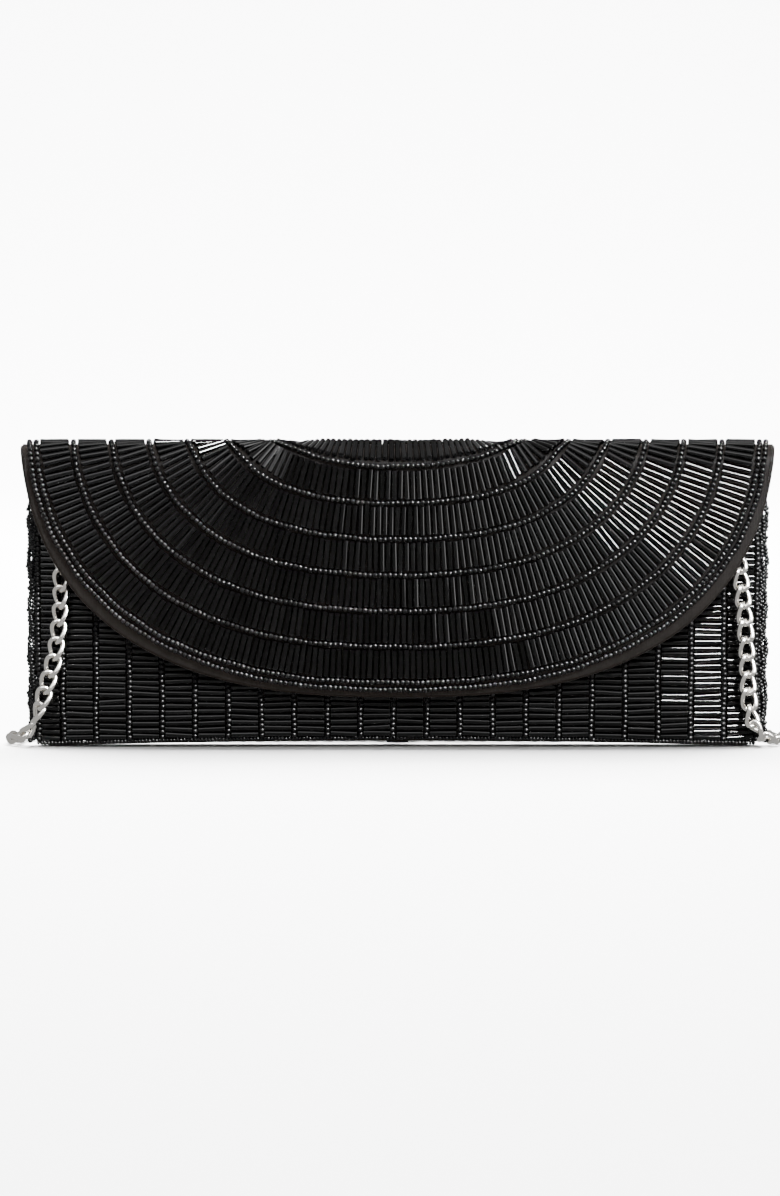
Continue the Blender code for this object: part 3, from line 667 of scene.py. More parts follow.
class CLUTCH_OT_stage(bpy.types.Operator):
    """Paper sweep, soft studio lights and the camera"""
    bl_idname = "clutch.stage"
    bl_label = "Studio"

    def execute(self, context):
        self.sweep()
        self.lights()
        self.camera()
        return {"FINISHED"}

    def sweep(self):
        """A seamless white sheet that turns up behind the clutch."""
        clear_selection()
        bpy.ops.mesh.primitive_plane_add(size=6.0, location=(0.0, 0.0, 0.0))
        paper = bpy.context.object
        paper.name = "paper_sweep"
        bpy.ops.object.mode_set(mode="EDIT")
        bpy.ops.mesh.select_all(action="DESELECT")
        shape = bmesh.from_edit_mesh(paper.data)
        for edge in shape.edges:
            edge.select = all(v.co.y > 2.9 for v in edge.verts)
        bmesh.update_edit_mesh(paper.data)
        bpy.ops.mesh.extrude_region_move(TRANSFORM_OT_translate={"value": (0.0, 0.0, 4.0)})
        bpy.ops.mesh.select_all(action="SELECT")
        bpy.ops.mesh.normals_make_consistent(inside=True)
        bpy.ops.object.mode_set(mode="OBJECT")
        turn = paper.modifiers.new("turn_up", "BEVEL")
        turn.width = 1.0
        turn.segments = 12
        apply_all(paper)
        bpy.ops.object.shade_smooth()
        material, _, shader = new_material("matt_studio_paper", colours().sweep, 0.9)
        shader.inputs["Specular IOR Level"].default_value = 0.1
        paper.data.materials.append(material)
        paper.visible_glossy = False

    def lights(self):
        """Two banks light the paper.  The glass and the metal are drawn by a
        narrow strip lamp up to the right, a tall bank at the side and a soft
        bank above the camera, all flagged off the paper."""
        overhead = self.area("overhead_bank", (0.0, 0.9, 2.0), (0.0, 0.4, 0.0), 3.0, 2.2, 820.0)
        backdrop = self.area("backdrop_bank", (0.0, 1.1, 2.4), (0.0, 3.0, 0.7), 3.0, 1.0, 260.0)
        for light in (overhead, backdrop):
            light.visible_glossy = False
        lamp = self.area("strip_lamp_right", (0.485, -0.815, 0.78), (0.0, 0.0, 0.06),
                         0.42, 0.09, 230.0, -54.0)
        side = self.area("side_bank_right", (1.45, -0.8, 0.75), (0.0, 0.0, 0.06), 1.0, 1.3, 56.0)
        front = self.area("front_bank", (-0.3, -1.3, 1.9), (0.0, 0.0, 0.06), 2.2, 1.9, 78.0)
        for light in (lamp, side, front):
            light.visible_diffuse = False
        world = bpy.data.worlds.new("studio_room")
        world.use_nodes = True
        backing = world.node_tree.nodes["Background"]
        backing.inputs["Color"].default_value = (1.0, 1.0, 1.0, 1.0)
        backing.inputs["Strength"].default_value = 0.55
        bpy.context.scene.world = world

    def area(self, name, place, aim, width, height, power, roll=0.0):
        data = bpy.data.lights.new(name, "AREA")
        data.shape = "RECTANGLE"
        data.size = width
        data.size_y = height
        data.energy = power
        light = bpy.data.objects.new(name, data)
        light.location = place
        heading = Vector(aim) - Vector(place)
        facing = heading.to_track_quat("-Z", "Y").to_matrix().to_4x4()
        light.rotation_euler = (facing @ Matrix.Rotation(math.radians(roll), 4, "Z")).to_euler()
        bpy.context.scene.collection.objects.link(light)
        return light

    def camera(self):
        """A long lens a little above the clutch, square to its front."""
        frame_width = 288.6 * MM
        frame_ratio = 1196.0 / 780.0
        distance = 1.7
        rise = math.radians(4.0)
        aim = Vector((-2.8 * MM, -8.0 * MM, 56.0 * MM))
        data = bpy.data.cameras.new("studio_camera")
        data.sensor_fit = "VERTICAL"
        data.sensor_height = 36.0
        data.lens = 36.0 * distance / (frame_width * frame_ratio)
        data.clip_start = 0.05
        data.clip_end = 30.0
        camera = bpy.data.objects.new("studio_camera", data)
        camera.location = aim + distance * Vector((0.0, -math.cos(rise), math.sin(rise)))
        camera.rotation_euler = (math.radians(90.0) - rise, 0.0, 0.0)
        bpy.context.scene.collection.objects.link(camera)
        bpy.context.scene.camera = camera


# ------------------------------------------------------------ the chain

def catmull(points, parts):
    """A smooth curve through points, parts steps to each stretch."""
    ring = [2.0 * points[0] - points[1], *points, 2.0 * points[-1] - points[-2]]
    fine = []
    for a, b, c, d in zip(ring, ring[1:], ring[2:], ring[3:]):
        for part in range(parts):
            t = part / parts
            fine.append(0.5 * (2.0 * b + (c - a) * t + (2.0 * a - 5.0 * b + 4.0 * c - d) * t ** 2
                               + (3.0 * b - a - 3.0 * c + d) * t ** 3))
    return fine + [points[-1]]


def half_turn(side, middle_y, radius, low, high, steps=14):
    """Half a turn of the spare chain round one end, climbing early."""
    points = []
    for step in range(1, steps):
        angle = math.pi * step / steps
        climb = min(1.0, 2.6 * step / steps)
        climb = climb * climb * (3.0 - 2.0 * climb)
        x = side * (HANK_HALF_RUN + radius * math.sin(angle))
        y = middle_y - side * radius * math.cos(angle)
        points.append(Vector((x, y, low + (high - low) * climb)))
    return points


def straight(start_x, end_x, y, z, steps=9):
    return [Vector((start_x + (end_x - start_x) * i / steps, y, z)) for i in range(steps + 1)]


def chain_route():
    """The whole centreline: down the left, wound up behind, up the right."""
    seam = Vector((0.0, SEAM_Y, 0.0))
    left = [Vector(p) * MM + seam for p in LEFT_ROUTE]
    right = [Vector(p) * MM + seam for p in RIGHT_ROUTE]
    end = HANK_HALF_RUN
    front, back = HANK_Y - HANK_WIDE, HANK_Y + HANK_WIDE
    inner_front, inner_back = HANK_Y - HANK_TIGHT, HANK_Y + HANK_TIGHT
    top_front = right[-1].y
    route = list(left)
    route += straight(-end, end, front, LOW_LAYER)
    route += half_turn(1, HANK_Y, HANK_WIDE, LOW_LAYER, LOW_LAYER)
    route += straight(end, -end, back, LOW_LAYER)
    route += half_turn(-1, (back + inner_front) / 2.0, (back - inner_front) / 2.0, LOW_LAYER, LOW_LAYER)
    route += straight(-end, end, inner_front, LOW_LAYER)
    route += half_turn(1, HANK_Y, HANK_TIGHT, LOW_LAYER, LOW_LAYER)
    route += straight(end, -end, inner_back, LOW_LAYER)
    rise_middle, rise_radius = (inner_back + top_front) / 2.0, (inner_back - top_front) / 2.0
    route += half_turn(-1, rise_middle, rise_radius, LOW_LAYER, TOP_LAYER)
    route += straight(-end, end, top_front, TOP_LAYER)
    route += right[::-1]
    return catmull(route, 6)


def read_along(points, step):
    """Points an even step apart along a line of close points."""
    travelled = [0.0]
    for start, end in zip(points, points[1:]):
        travelled.append(travelled[-1] + (end - start).length)
    count = round(travelled[-1] / step)
    read = []
    index = 0
    for number in range(count + 1):
        target = travelled[-1] * number / count
        while index < len(points) - 2 and travelled[index + 1] < target:
            index += 1
        share = (target - travelled[index]) / (travelled[index + 1] - travelled[index])
        read.append(points[index].lerp(points[index + 1], share))
    return read


class CLUTCH_OT_chain(bpy.types.Operator):
    """Curb chain, link by link, with the spare length tied behind"""
    bl_idname = "clutch.chain"
    bl_label = "Curb chain"

    def execute(self, context):
        dims = sizes()
        route = read_along(chain_route(), dims.link_pitch)
        link = self.link(dims)
        places = self.lay_links(route)
        chain = strung("curb_chain", link, places, 31)
        discard(link)
        dress(chain, bright_plate(), "body", "chain_left_run", "chain_right_run", "chain_hank")
        tie = self.tie()
        tuple(route[0])
        return {"FINISHED"}

    def link(self, dims):
        """A curb link: an oval of wire, twisted so that it lies flat when
        it is threaded through its neighbours."""
        around = 20
        half = 0.5 * (dims.link_length - dims.link_wire)
        side = 0.5 * (dims.link_width - dims.link_wire)
        twist = 0.58 * dims.link_wire
        points = []
        for step in range(around):
            angle = 2.0 * math.pi * step / around
            squared = 0.9
            x = half * math.copysign(abs(math.cos(angle)) ** squared, math.cos(angle))
            points.append(Vector((x, side * math.sin(angle), twist * math.sin(2.0 * angle))))
        return wire_piece("curb_link_master", points, 0.5 * dims.link_wire, cyclic=True, sides=2)

    def lay_links(self, route):
        """Faces the links forwards where they hang and upwards where they
        lie, with a little slack in each."""
        slack = random.Random(5)
        places = []
        for start, end in zip(route, route[1:]):
            along = (end - start).normalized()
            middle = (start + end) * 0.5
            lying = min(1.0, max(0.0, (26.0 * MM - middle.z) / (20.0 * MM)))
            lying = lying * lying * (3.0 - 2.0 * lying)
            side = -1.0 if middle.x < 0.0 else 1.0
            turn = math.radians(30.0 if side < 0.0 else 24.0) * (1.0 - lying)
            hanging = Vector((side * math.sin(turn), -math.cos(turn), 0.0))
            face = hanging.lerp(Vector((0.0, 0.0, 1.0)), lying)
            across = face.cross(along).normalized()
            normal = along.cross(across)
            matrix = Matrix.Identity(4)
            for column, axis in enumerate((along, across, normal)):
                matrix.col[column][:3] = axis
            matrix.col[3][:3] = middle + Vector((0.0, 0.0, 0.7 * MM * lying))
            wobble = Matrix.Rotation(math.radians(slack.uniform(-7.0, 7.0)), 4, "X")
            places.append(matrix @ wobble @ Matrix.Rotation(math.radians(slack.uniform(-2.0, 2.0)), 4, "Z"))
        return places

    def tie(self):
        """A satin ribbon round the spare chain."""
        low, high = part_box("chain_tie")
        centre, size = (low + high) / 2.0, high - low
        corner = 1.2 * MM
        wall = 0.35 * MM
        clear_selection()
        bpy.ops.mesh.primitive_cube_add(size=1.0)
        tie = bpy.context.object
        tie.name = "hank_ribbon"
        for vertex in tie.data.vertices:
            vertex.co = centre + vertex.co * size
        bpy.ops.object.mode_set(mode="EDIT")
        bpy.ops.mesh.select_all(action="DESELECT")
        shape = bmesh.from_edit_mesh(tie.data)
        for face in shape.faces:
            face.select = abs(face.normal.x) > 0.9
        bmesh.update_edit_mesh(tie.data)
        bpy.ops.mesh.delete(type="ONLY_FACE")
        bpy.ops.mesh.select_all(action="DESELECT")
        shape = bmesh.from_edit_mesh(tie.data)
        for edge in shape.edges:
            edge.select = abs(edge.verts[0].co.x - edge.verts[1].co.x) > corner
        bmesh.update_edit_mesh(tie.data)
        bpy.ops.mesh.bevel(offset=corner, segments=5)
        bpy.ops.object.mode_set(mode="OBJECT")
        ribbon = tie.modifiers.new("ribbon", "SOLIDIFY")
        ribbon.thickness = wall
        ribbon.offset = -1.0
        apply_all(tie)
        bpy.ops.object.shade_smooth_by_angle(angle=math.radians(40.0))
        return dress(tie, duchess_satin(), "body", "chain_tie")


# ------------------------------------------------------- satin and lining

def outline_place(surface_size, top_s, out, pucker=0.0):
    """Lays a unit square onto the flap between the line s = top_s and its
    curved outline."""
    low = 0.02

    def place(u, v):
        angle = low + (math.pi - 2.0 * low) * (1.0 - u)
        x, s_end = superellipse(surface_size, OUTLINE_POWER, angle)
        s_end = max(s_end, top_s + 0.2 * MM)
        share = 1.0 - v
        s = top_s + (s_end - top_s) * share
        near = max(0.0, 1.0 - (s_end - s) / (4.0 * MM))
        ripple = pucker * near * math.sin(angle * 150.0 + 2.0 * math.sin(angle * 37.0))
        return flap(x, s, out + ripple)

    return place


class CLUTCH_OT_satin(bpy.types.Operator):
    """Satin covers, linings and rolled edges"""
    bl_idname = "clutch.satin"
    bl_label = "Satin and lining"

    def execute(self, context):
        self.flap_cloth()
        self.body_cloth()
        self.rolled_edges()
        return {"FINISHED"}

    def flap_cloth(self):
        size = (OUTLINE[0] + COVER_TURN, OUTLINE[1] + COVER_TURN)
        outside = outline_place(size, -QUARTER, 0.0, SEAM_PUCKER)
        cover = cloth_piece("flap_satin", 120, 70, outside, SATIN_WALL, (0.0, -1.0, 0.0))
        dress(cover, duchess_satin(), "flap", "flap_cover")
        self.cut_area(size)
        size = (OUTLINE[0] - 1.5 * MM, OUTLINE[1] - 1.5 * MM)
        inside = outline_place(size, 0.5 * MM - QUARTER, -2.5 * MM)
        lining = cloth_piece("flap_lining_satin", 100, 60, inside, SATIN_WALL, (0.0, -1.0, 0.0))
        dress(lining, lining_satin(), "flap", "flap_lining")
        self.cut_area(size)

    def cut_area(self, size):
        """Area of the flat piece that the flap is cut from."""
        rim = [superellipse(size, OUTLINE_POWER, math.pi * i / 360) for i in range(361)]
        return sum(0.5 * (s0 + s1 + 2.0 * QUARTER) * (x0 - x1)
                   for (x0, s0), (x1, s1) in zip(rim, rim[1:]))

    def body_cloth(self):
        for word, surface, top in (("front", front_panel, FRONT_TOP), ("back", back_panel, BACK_TOP)):
            hint = (0.0, -1.0 if word == "front" else 1.0, 0.0)

            def place(u, v, surface=surface, top=top):
                across = math.sin((u - 0.5) * math.pi)
                across = 0.65 * across + 0.35 * (2.0 * u - 1.0)
                x = across * BODY_HALF
                bottom = PANEL_BOTTOM + arch(x)
                return surface(x, bottom + (top - bottom) * v, 0.0)

            cover = cloth_piece(f"{word}_satin", 96, 40, place, SATIN_WALL, hint)
            dress(cover, duchess_satin(), "body", f"{word}_cover")

            low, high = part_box(f"{word}_lining")
            inward = (-2.6 if word == "front" else -1.9) * MM

            def inner(u, v, surface=surface, low=low, high=high, inward=inward):
                x = low.x + (high.x - low.x) * u
                return surface(x, low.z + (high.z - low.z) * v, inward)

            lining = cloth_piece(f"{word}_lining_satin", 90, 36, inner, SATIN_WALL, hint)
            dress(lining, lining_satin(), "body", f"{word}_lining")

        low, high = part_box("bottom_gusset")

        def under(u, v):
            x = low.x + (high.x - low.x) * u
            depth = abs(front_panel(x, PANEL_BOTTOM, 0.9 * MM).y - SEAM_Y)
            return Vector((x, SEAM_Y + depth * (2.0 * v - 1.0), 0.3 * MM + 0.9 * arch(x)))

        gusset = cloth_piece("bottom_gusset_satin", 60, 6, under, SATIN_WALL, (0.0, 0.0, -1.0))
        dress(gusset, duchess_satin(), "body", "bottom_gusset")

    def rolled_edges(self):
        away = 0.15 * MM + COVER_TURN
        size = (OUTLINE[0] + away, OUTLINE[1] + away)
        points = []
        for step in range(361):
            angle = 0.012 + (math.pi - 0.024) * step / 360
            x, s = superellipse(size, OUTLINE_POWER, angle)
            points.append(flap(x, s, -0.8 * MM))
        edge = wire_piece("flap_rolled_edge", points, 0.85 * MM, sides=4)
        dress(edge, duchess_satin(), "flap", "flap_piping")
        low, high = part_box("mouth_binding")
        reach = high.x - 0.7 * MM
        centre_z = (low.z + high.z) / 2.0
        mouth = []
        for step in range(97):
            x = reach * (2.0 * step / 96 - 1.0)
            mouth.append(front_panel(x, centre_z, -1.4 * MM))
        binding = wire_piece("mouth_rolled_binding", mouth, 0.75 * MM, sides=4)
        dress(binding, duchess_satin(), "body", "mouth_binding")
        for word in ("left", "right"):
            low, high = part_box(f"{word}_side_binding")
            x = (low.x + high.x) / 2.0
            side = [Vector((x, SEAM_Y, low.z + (high.z - low.z) * i / 40)) for i in range(41)]
            strip = wire_piece(f"{word}_side_seam_binding", side, 0.72 * MM, sides=4)
            dress(strip, duchess_satin(), "body", f"{word}_side_binding")


# ------------------------------------------------------------ bead work

def noise_wave(value, seed):
    """A slow, repeatable wander between -1 and 1."""
    return (math.sin(value * 1.7 + seed) + math.sin(value * 0.63 + 2.1 * seed)) * 0.5


class CLUTCH_OT_flap_beads(bpy.types.Operator):
    """The flap's rings of seed beads and the bugle beads between them"""
    bl_idname = "clutch.flap_beads"
    bl_label = "Flap beads"

    def execute(self, context):
        dims = sizes()
        bugle, seed = bugle_bead(), seed_bead()
        rows = [BORDER] + [self.row_size(index) for index in range(ROW_COUNT)]
        for index, size in enumerate(rows):
            self.seed_row(index, size, seed, dims)
        for index in range(ROW_COUNT - 1):
            self.bugle_row(index, bugle, dims)
        self.apex_fan(bugle, dims)
        discard(bugle)
        discard(seed)
        return {"FINISHED"}

    def row_size(self, index):
        return ROW[0] - ROW_STEP[0] * index, ROW[1] - ROW_STEP[1] * index

    def seed_row(self, index, size, seed, dims):
        chance = random.Random(100 + index)
        places = []
        for number, (x, s, heading) in enumerate(even_row(size, ROW_POWER, dims.seed_pitch, ROW_MARGIN)):
            drift = 0.22 * MM * noise_wave(number * 0.35, index) + chance.gauss(0.0, 0.07) * MM
            x += -math.sin(heading) * drift
            s += math.cos(heading) * drift
            width = dims.seed_width * chance.uniform(0.93, 1.06)
            lift = BEAD_BASE + 0.5 * width + (0.15 * MM if s > 0.0 else -0.1 * MM)
            turn = heading + math.radians(chance.gauss(0.0, 5.0))
            places.append(bead_place(flap, x, s, turn, lift, (width * 1.02, width, width),
                                     chance.uniform(0, 6.2)))
        piece = strung(f"flap_seed_ring_{index}", seed, places, 200 + index)
        dress(piece, jet_glass(), "flap", f"flap_seed_row_{index}")

    def bugle_row(self, index, bugle, dims):
        chance = random.Random(300 + index)
        outer, inner = self.row_size(index), self.row_size(index + 1)
        middle = ((outer[0] + inner[0]) / 2.0, (outer[1] + inner[1]) / 2.0)
        places = []
        row = even_row(middle, ROW_POWER, dims.bugle_pitch, ROW_MARGIN)
        for number, (x, s, heading) in enumerate(row):
            lean = 1.6 * noise_wave(number * 0.31, 3.0 * index) + chance.gauss(0.0, 1.0)
            turn = heading + math.radians(90.0 + lean)
            slide = chance.gauss(0.0, 0.12) * MM
            x += math.cos(turn) * slide
            s += math.sin(turn) * slide
            width = dims.bugle_width * chance.uniform(0.96, 1.03)
            length = dims.bugle_length * chance.uniform(0.975, 1.015)
            lift = BEAD_BASE + 0.5 * width + chance.uniform(-0.06, 0.08) * MM
            places.append(bead_place(flap, x, s, turn, lift, (length, width, width), chance.uniform(0, 6.2),
                                     chance.gauss(0.0, 0.17) * MM))
        piece = strung(f"flap_bugle_ring_{index}", bugle, places, 400 + index, cut_ends=True)
        dress(piece, jet_glass(), "flap", f"flap_bugle_row_{index}")

    def apex_fan(self, bugle, dims):
        """Shorter bugles side by side fill the half ring on the fold."""
        chance = random.Random(390)
        half, drop = self.row_size(ROW_COUNT - 1)
        places = []
        count = int((half - 3.0 * MM) / dims.bugle_pitch)
        for number in range(-count, count + 1):
            x = number * dims.bugle_pitch
            reach = drop * max(0.0, 1.0 - abs(x / half) ** ROW_POWER) ** (1.0 / ROW_POWER)
            length = min(FAN_BUGLE, reach - 2.0 * MM)
            if length < 1.5 * MM:
                continue
            s = reach - QUARTER - 1.4 * MM - 0.5 * length
            turn = math.radians(90.0 + chance.gauss(0.0, 1.2))
            width = dims.bugle_width
            places.append(bead_place(flap, x, s, turn, BEAD_BASE + 0.45 * width, (length, width, width)))
        piece = strung("flap_bugle_fan", bugle, places, 391, cut_ends=True)
        dress(piece, jet_glass(), "flap", f"flap_bugle_row_{ROW_COUNT - 1}")


class CLUTCH_OT_body_beads(bpy.types.Operator):
    """Upright columns of bugle beads and seed-bead lines on both panels"""
    bl_idname = "clutch.body_beads"
    bl_label = "Body beads"

    def execute(self, context):
        dims = sizes()
        bugle, seed = bugle_bead(), seed_bead()
        for word, surface, seed_number in (("front", front_panel, 500), ("back", back_panel, 600)):
            low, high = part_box(f"{word}_bead_field")
            bottom, top = low.z, high.z - (0.7 if word == "front" else 1.6) * MM
            columns = self.column_lines(dims)
            bugles = self.bugle_columns(word, surface, columns, bottom, top, dims, seed_number)
            piece = strung(f"{word}_bugle_columns", bugle, bugles, seed_number + 1, cut_ends=True)
            dress(piece, jet_glass(), "body", f"{word}_bead_field")
            seeds = self.seed_lines(word, surface, columns, bottom, top, dims, seed_number + 2)
            piece = strung(f"{word}_seed_lines", seed, seeds, seed_number + 3)
            dress(piece, frosted_glass(), "body")
        discard(bugle)
        discard(seed)
        return {"FINISHED"}

    def column_lines(self, dims):
        edge = BODY_HALF - 0.9 * MM
        first = math.ceil((4.0 * MM - edge - dims.column_shift) / dims.column_pitch)
        last = math.floor((edge - 4.0 * MM - dims.column_shift) / dims.column_pitch)
        lines = [dims.column_shift + number * dims.column_pitch for number in range(first, last + 1)]
        return [-edge, *lines, edge]

    def clear_of_snap(self, word, low, high, z):
        """Trims a bead's span so that the front snap's seat stays open."""
        gap = abs(z - SNAP.z)
        if word == "back" or gap >= SNAP_SEAT:
            return low, high
        chord = math.sqrt(SNAP_SEAT ** 2 - gap ** 2)
        if low >= 0.0:
            return max(low, chord), high
        return low, min(high, -chord)

    def clear_of_tabs(self, word, x, z):
        """Whether a bead misses the satin tabs that hold the D-rings."""
        return word == "back" or z < TAB_FOOT or abs(abs(x) - TAB_X) > TAB_HALF

    def bugle_columns(self, word, surface, lines, bottom, top, dims, seed_number):
        chance = random.Random(seed_number)
        places = []
        for column, (left, right) in enumerate(zip(lines, lines[1:])):
            start = bottom + arch((left + right) / 2.0) + 0.2 * MM
            count = int((top - start) / BODY_BUGLE_PITCH)
            for number in range(count):
                z = start + (number + 0.5) * (top - start) / count
                z += 0.25 * MM * noise_wave(number * 0.9, column) + chance.gauss(0.0, 0.05) * MM
                low, high = self.clear_of_snap(word, left + 1.15 * MM, right - 1.15 * MM, z)
                middle = (low + high) / 2.0
                if high - low < 2.0 * MM or not self.clear_of_tabs(word, middle, z):
                    continue
                lean = 2.4 * noise_wave(number * 0.55, 1.3 * column) + chance.gauss(0.0, 1.0)
                width = dims.bugle_width * chance.uniform(0.96, 1.03)
                length = (high - low) * chance.uniform(0.96, 1.0)
                lift = BEAD_BASE + 0.5 * width + chance.uniform(-0.05, 0.1) * MM
                places.append(bead_place(surface, middle, z, math.radians(lean), lift,
                                         (length, width, width), chance.uniform(0, 6.2),
                                         chance.gauss(0.0, 0.14) * MM))
        return places

    def seed_lines(self, word, surface, lines, bottom, top, dims, seed_number):
        chance = random.Random(seed_number)
        places = []
        for column, line in enumerate(lines):
            start = bottom + arch(line)
            count = int((top - start) / dims.seed_pitch)
            for number in range(count):
                z = start + (number + 0.5) * (top - start) / count
                x = line + 0.3 * MM * noise_wave(number * 0.28, column) + chance.gauss(0.0, 0.07) * MM
                near_snap = (Vector((x, 0.0, z)) - SNAP).length < 9.4 * MM
                if (word == "front" and near_snap) or not self.clear_of_tabs(word, x, z):
                    continue
                width = dims.seed_width * 0.95 * chance.uniform(0.92, 1.06)
                turn = math.radians(90.0 + chance.gauss(0.0, 6.0))
                places.append(bead_place(surface, x, z, turn, BEAD_BASE + 0.5 * width,
                                         (width * 1.02, width, width), chance.uniform(0, 6.2)))
        return places


class CLUTCH_OT_edgings(bpy.types.Operator):
    """Picot seed-bead edging along the sides and the bottom"""
    bl_idname = "clutch.edgings"
    bl_label = "Bead edgings"

    def execute(self, context):
        seed = seed_bead()
        for index, word in enumerate(("left", "right")):
            self.side(word, seed, 700 + index)
        for index, word in enumerate(("front", "back")):
            self.bottom(word, seed, 710 + index)
        discard(seed)
        return {"FINISHED"}

    def place(self, centre, heading, width, roll):
        matrix = Matrix.Identity(4)
        along = heading.normalized()
        across = along.orthogonal().normalized()
        for column, axis in enumerate((along, across, along.cross(across))):
            matrix.col[column][:3] = axis * width
        matrix.col[3][:3] = centre
        return matrix @ Matrix.Rotation(roll, 4, "X")

    def side(self, word, seed, number):
        chance = random.Random(number)
        low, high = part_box(f"{word}_bead_edging")
        out = -1.0 if word == "left" else 1.0
        middle_x = (low.x + high.x) / 2.0
        places = []
        for strand, (inset, y) in enumerate(
                ((0.5, -0.7), (0.2, 0.7), (1.4, -1.5), (1.5, 1.5), (2.4, -1.3), (2.5, 1.3))):
            count = int((high.z - low.z) / SIDE_PICOT_PITCH)
            for step in range(count):
                z = low.z + (step + 0.5 + 0.25 * strand) * SIDE_PICOT_PITCH
                bump = 0.35 * math.sin(z / (2.6 * MM) + strand) + chance.gauss(0.0, 0.2) - inset
                strand_y = SEAM_Y + (y + chance.gauss(0.0, 0.15)) * MM
                centre = Vector((middle_x + out * bump * MM, strand_y, z))
                heading = Vector((chance.gauss(0.0, 0.35), chance.gauss(0.0, 0.3), 1.0))
                width = chance.uniform(1.45, 1.95) * MM
                places.append(self.place(centre, heading, width, chance.uniform(0, 6.2)))
        piece = strung(f"{word}_picot_edging", seed, places, number + 20)
        dress(piece, frosted_glass(), "body", f"{word}_bead_edging")

    def bottom(self, word, seed, number):
        chance = random.Random(number)
        side = -1.0 if word == "front" else 1.0
        surface = front_panel if word == "front" else back_panel
        count = int(2.0 * BODY_HALF / BOTTOM_PICOT_PITCH)
        places = []
        for step in range(count):
            x = (step + 0.5) * BOTTOM_PICOT_PITCH - BODY_HALF
            base = surface(x, 0.4 * MM, 1.5 * MM)
            bump = 0.2 * math.sin(x / (1.9 * MM)) + chance.gauss(0.0, 0.1)
            level = (1.25 + chance.gauss(0.0, 0.1)) * MM + arch(x)
            centre = Vector((x, base.y + side * bump * MM, level))
            heading = Vector((1.0, chance.gauss(0.0, 0.3), chance.gauss(0.0, 0.3)))
            width = chance.uniform(1.3, 1.6) * MM
            places.append(self.place(centre, heading, width, chance.uniform(0, 6.2)))
        piece = strung(f"{word}_bottom_picots", seed, places, number + 20)
        dress(piece, frosted_glass(), "body", f"{word}_bottom_edging")


# -------------------------------------------------------------- hardware

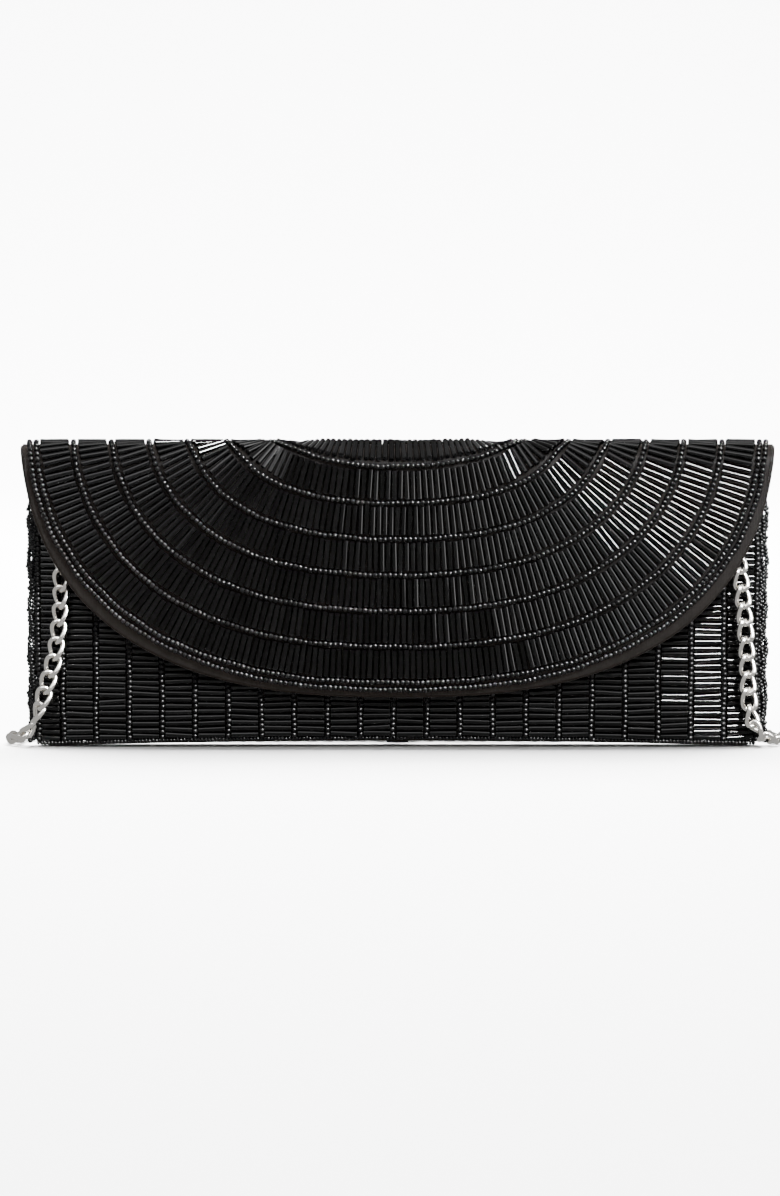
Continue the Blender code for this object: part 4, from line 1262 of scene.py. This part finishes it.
class CLUTCH_OT_hardware(bpy.types.Operator):
    """Snap, D-rings, jump rings and the finishes of the plain parts"""
    bl_idname = "clutch.hardware"
    bl_label = "Hardware"

    def execute(self, context):
        self.rings()
        self.snap()
        self.plain_finishes()
        return {"FINISHED"}

    def rings(self):
        for word in ("left", "right"):
            low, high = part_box(f"{word}_d_ring")
            wire = 0.8 * MM
            x = (low.x + high.x) / 2.0
            half = (high.x - low.x) / 2.0 - wire
            top, bottom = high.z - wire, low.z + wire
            back, front = high.y - wire, low.y + wire
            points = []
            for step in range(33):
                angle = math.pi * step / 32
                points.append((half * math.cos(angle), -(top - bottom - half) - half * math.sin(angle)))
            for side in (-1.0, 1.0):
                for step in range(7):
                    angle = math.radians(90.0 * step / 6)
                    sweep = angle if side < 0.0 else math.radians(90.0) - angle
                    points.append((side * (half - 1.2 * MM + 1.2 * MM * math.cos(sweep)),
                                   -1.2 * MM + 1.2 * MM * math.sin(sweep)))
            slope = (back - front) / (top - bottom)
            ring = [Vector((x + px, back + slope * pz, top + pz)) for px, pz in points]
            piece = wire_piece(f"{word}_polished_d_ring", ring, wire, cyclic=True, sides=5)
            dress(piece, bright_plate(), "body", f"{word}_d_ring")
            low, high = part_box(f"{word}_jump_ring")
            thin = 0.55 * MM
            centre = (low + high) / 2.0
            radius = (high.z - low.z) / 2.0 - thin
            slant = Vector((1.0, 1.0, 0.0)).normalized()
            ring = [centre + radius * (math.cos(a) * slant + math.sin(a) * Vector((0.0, 0.0, 1.0)))
                    for a in (2.0 * math.pi * i / 48 for i in range(48))]
            piece = wire_piece(f"{word}_polished_jump_ring", ring, thin, cyclic=True, sides=4)
            dress(piece, bright_plate(), "body", f"{word}_jump_ring")

    def snap(self):
        low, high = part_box("snap_socket_case")
        base_y = low.y + 2.4 * MM
        case = [(0.0, -2.6), (1.5, -2.6), (1.5, 0.0), (7.5, 0.0),
                (7.5, 2.4), (6.3, 2.4), (6.3, 0.5), (0.0, 0.5)]
        self.turned("snap_socket_shell", case, base_y, "body", brushed_plate(), "snap_socket_case")
        magnet = [(2.4, 0.8), (6.0, 0.8), (6.0, 2.1), (2.4, 2.1)]
        self.turned("snap_ring_magnet", magnet, base_y, "body", sintered_ferrite(), "snap_magnet")
        low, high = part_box("snap_stud_plate")
        base_y = high.y - 2.0 * MM
        stud = [(0.0, -2.0), (1.6, -2.0), (1.6, -0.8), (7.5, -0.8),
                (7.5, 0.0), (1.5, 0.0), (1.5, 2.4), (0.0, 2.4)]
        self.turned("snap_stud_disc", stud, base_y, "flap", brushed_plate(), "snap_stud_plate")

    def turned(self, name, profile, base_y, body, material, node):
        outline = [(radius * MM, -reach * MM) for radius, reach in profile]
        piece = turned_piece(name, outline, Vector((0.0, base_y, SNAP.z)))
        dress(piece, material, body, node)

    def plain_finishes(self):
        """Materials for the frame's own parts that already have their shape."""
        finishes = {
            "front_board": bag_board(), "back_board": bag_board(), "flap_board": bag_board(),
            "slip_pocket": lining_satin(), "blank_label": label_ribbon(),
            "left_ring_tab": duchess_satin(), "right_ring_tab": duchess_satin(),
            "snap_socket_washer": brushed_plate(), "snap_stud_washer": brushed_plate(),
        }
        for node, material in finishes.items():
            part = frame["nodes"][node]
            if not part.material_slots:
                part.data.materials.append(material)
            for holder in part.material_slots:
                holder.material = material


# ----------------------------------------------------------- the add-on

STEPS = (
    CLUTCH_OT_stage, CLUTCH_OT_chain, CLUTCH_OT_satin, CLUTCH_OT_flap_beads,
    CLUTCH_OT_body_beads, CLUTCH_OT_edgings, CLUTCH_OT_hardware,
)


class CLUTCH_PT_sidebar(bpy.types.Panel):
    """Lists the clutch's sizes, colours and making steps"""
    bl_idname = "CLUTCH_PT_sidebar"
    bl_label = "Beaded Envelope Clutch"
    bl_space_type = "VIEW_3D"
    bl_region_type = "UI"
    bl_category = "Clutch"

    def draw(self, context):
        layout = self.layout
        for group in (context.scene.clutch_sizes, context.scene.clutch_colours):
            box = layout.box()
            for name in group.__annotations__:
                box.prop(group, name)
        for step in STEPS:
            layout.operator(step.bl_idname)


CLASSES = (ClutchSizes, ClutchColours, *STEPS, CLUTCH_PT_sidebar)


def register():
    for kind in CLASSES:
        bpy.utils.register_class(kind)
    bpy.types.Scene.clutch_sizes = bpy.props.PointerProperty(type=ClutchSizes)
    bpy.types.Scene.clutch_colours = bpy.props.PointerProperty(type=ClutchColours)


def unregister():
    del bpy.types.Scene.clutch_colours
    del bpy.types.Scene.clutch_sizes
    for kind in reversed(CLASSES):
        bpy.utils.unregister_class(kind)


def main():
    register()
    clear_selection()
    bpy.ops.clutch.stage()
    bpy.ops.clutch.chain()
    bpy.ops.clutch.satin()
    bpy.ops.clutch.flap_beads()
    bpy.ops.clutch.body_beads()
    bpy.ops.clutch.edgings()
    bpy.ops.clutch.hardware()


if __name__ == "__main__":
    main()
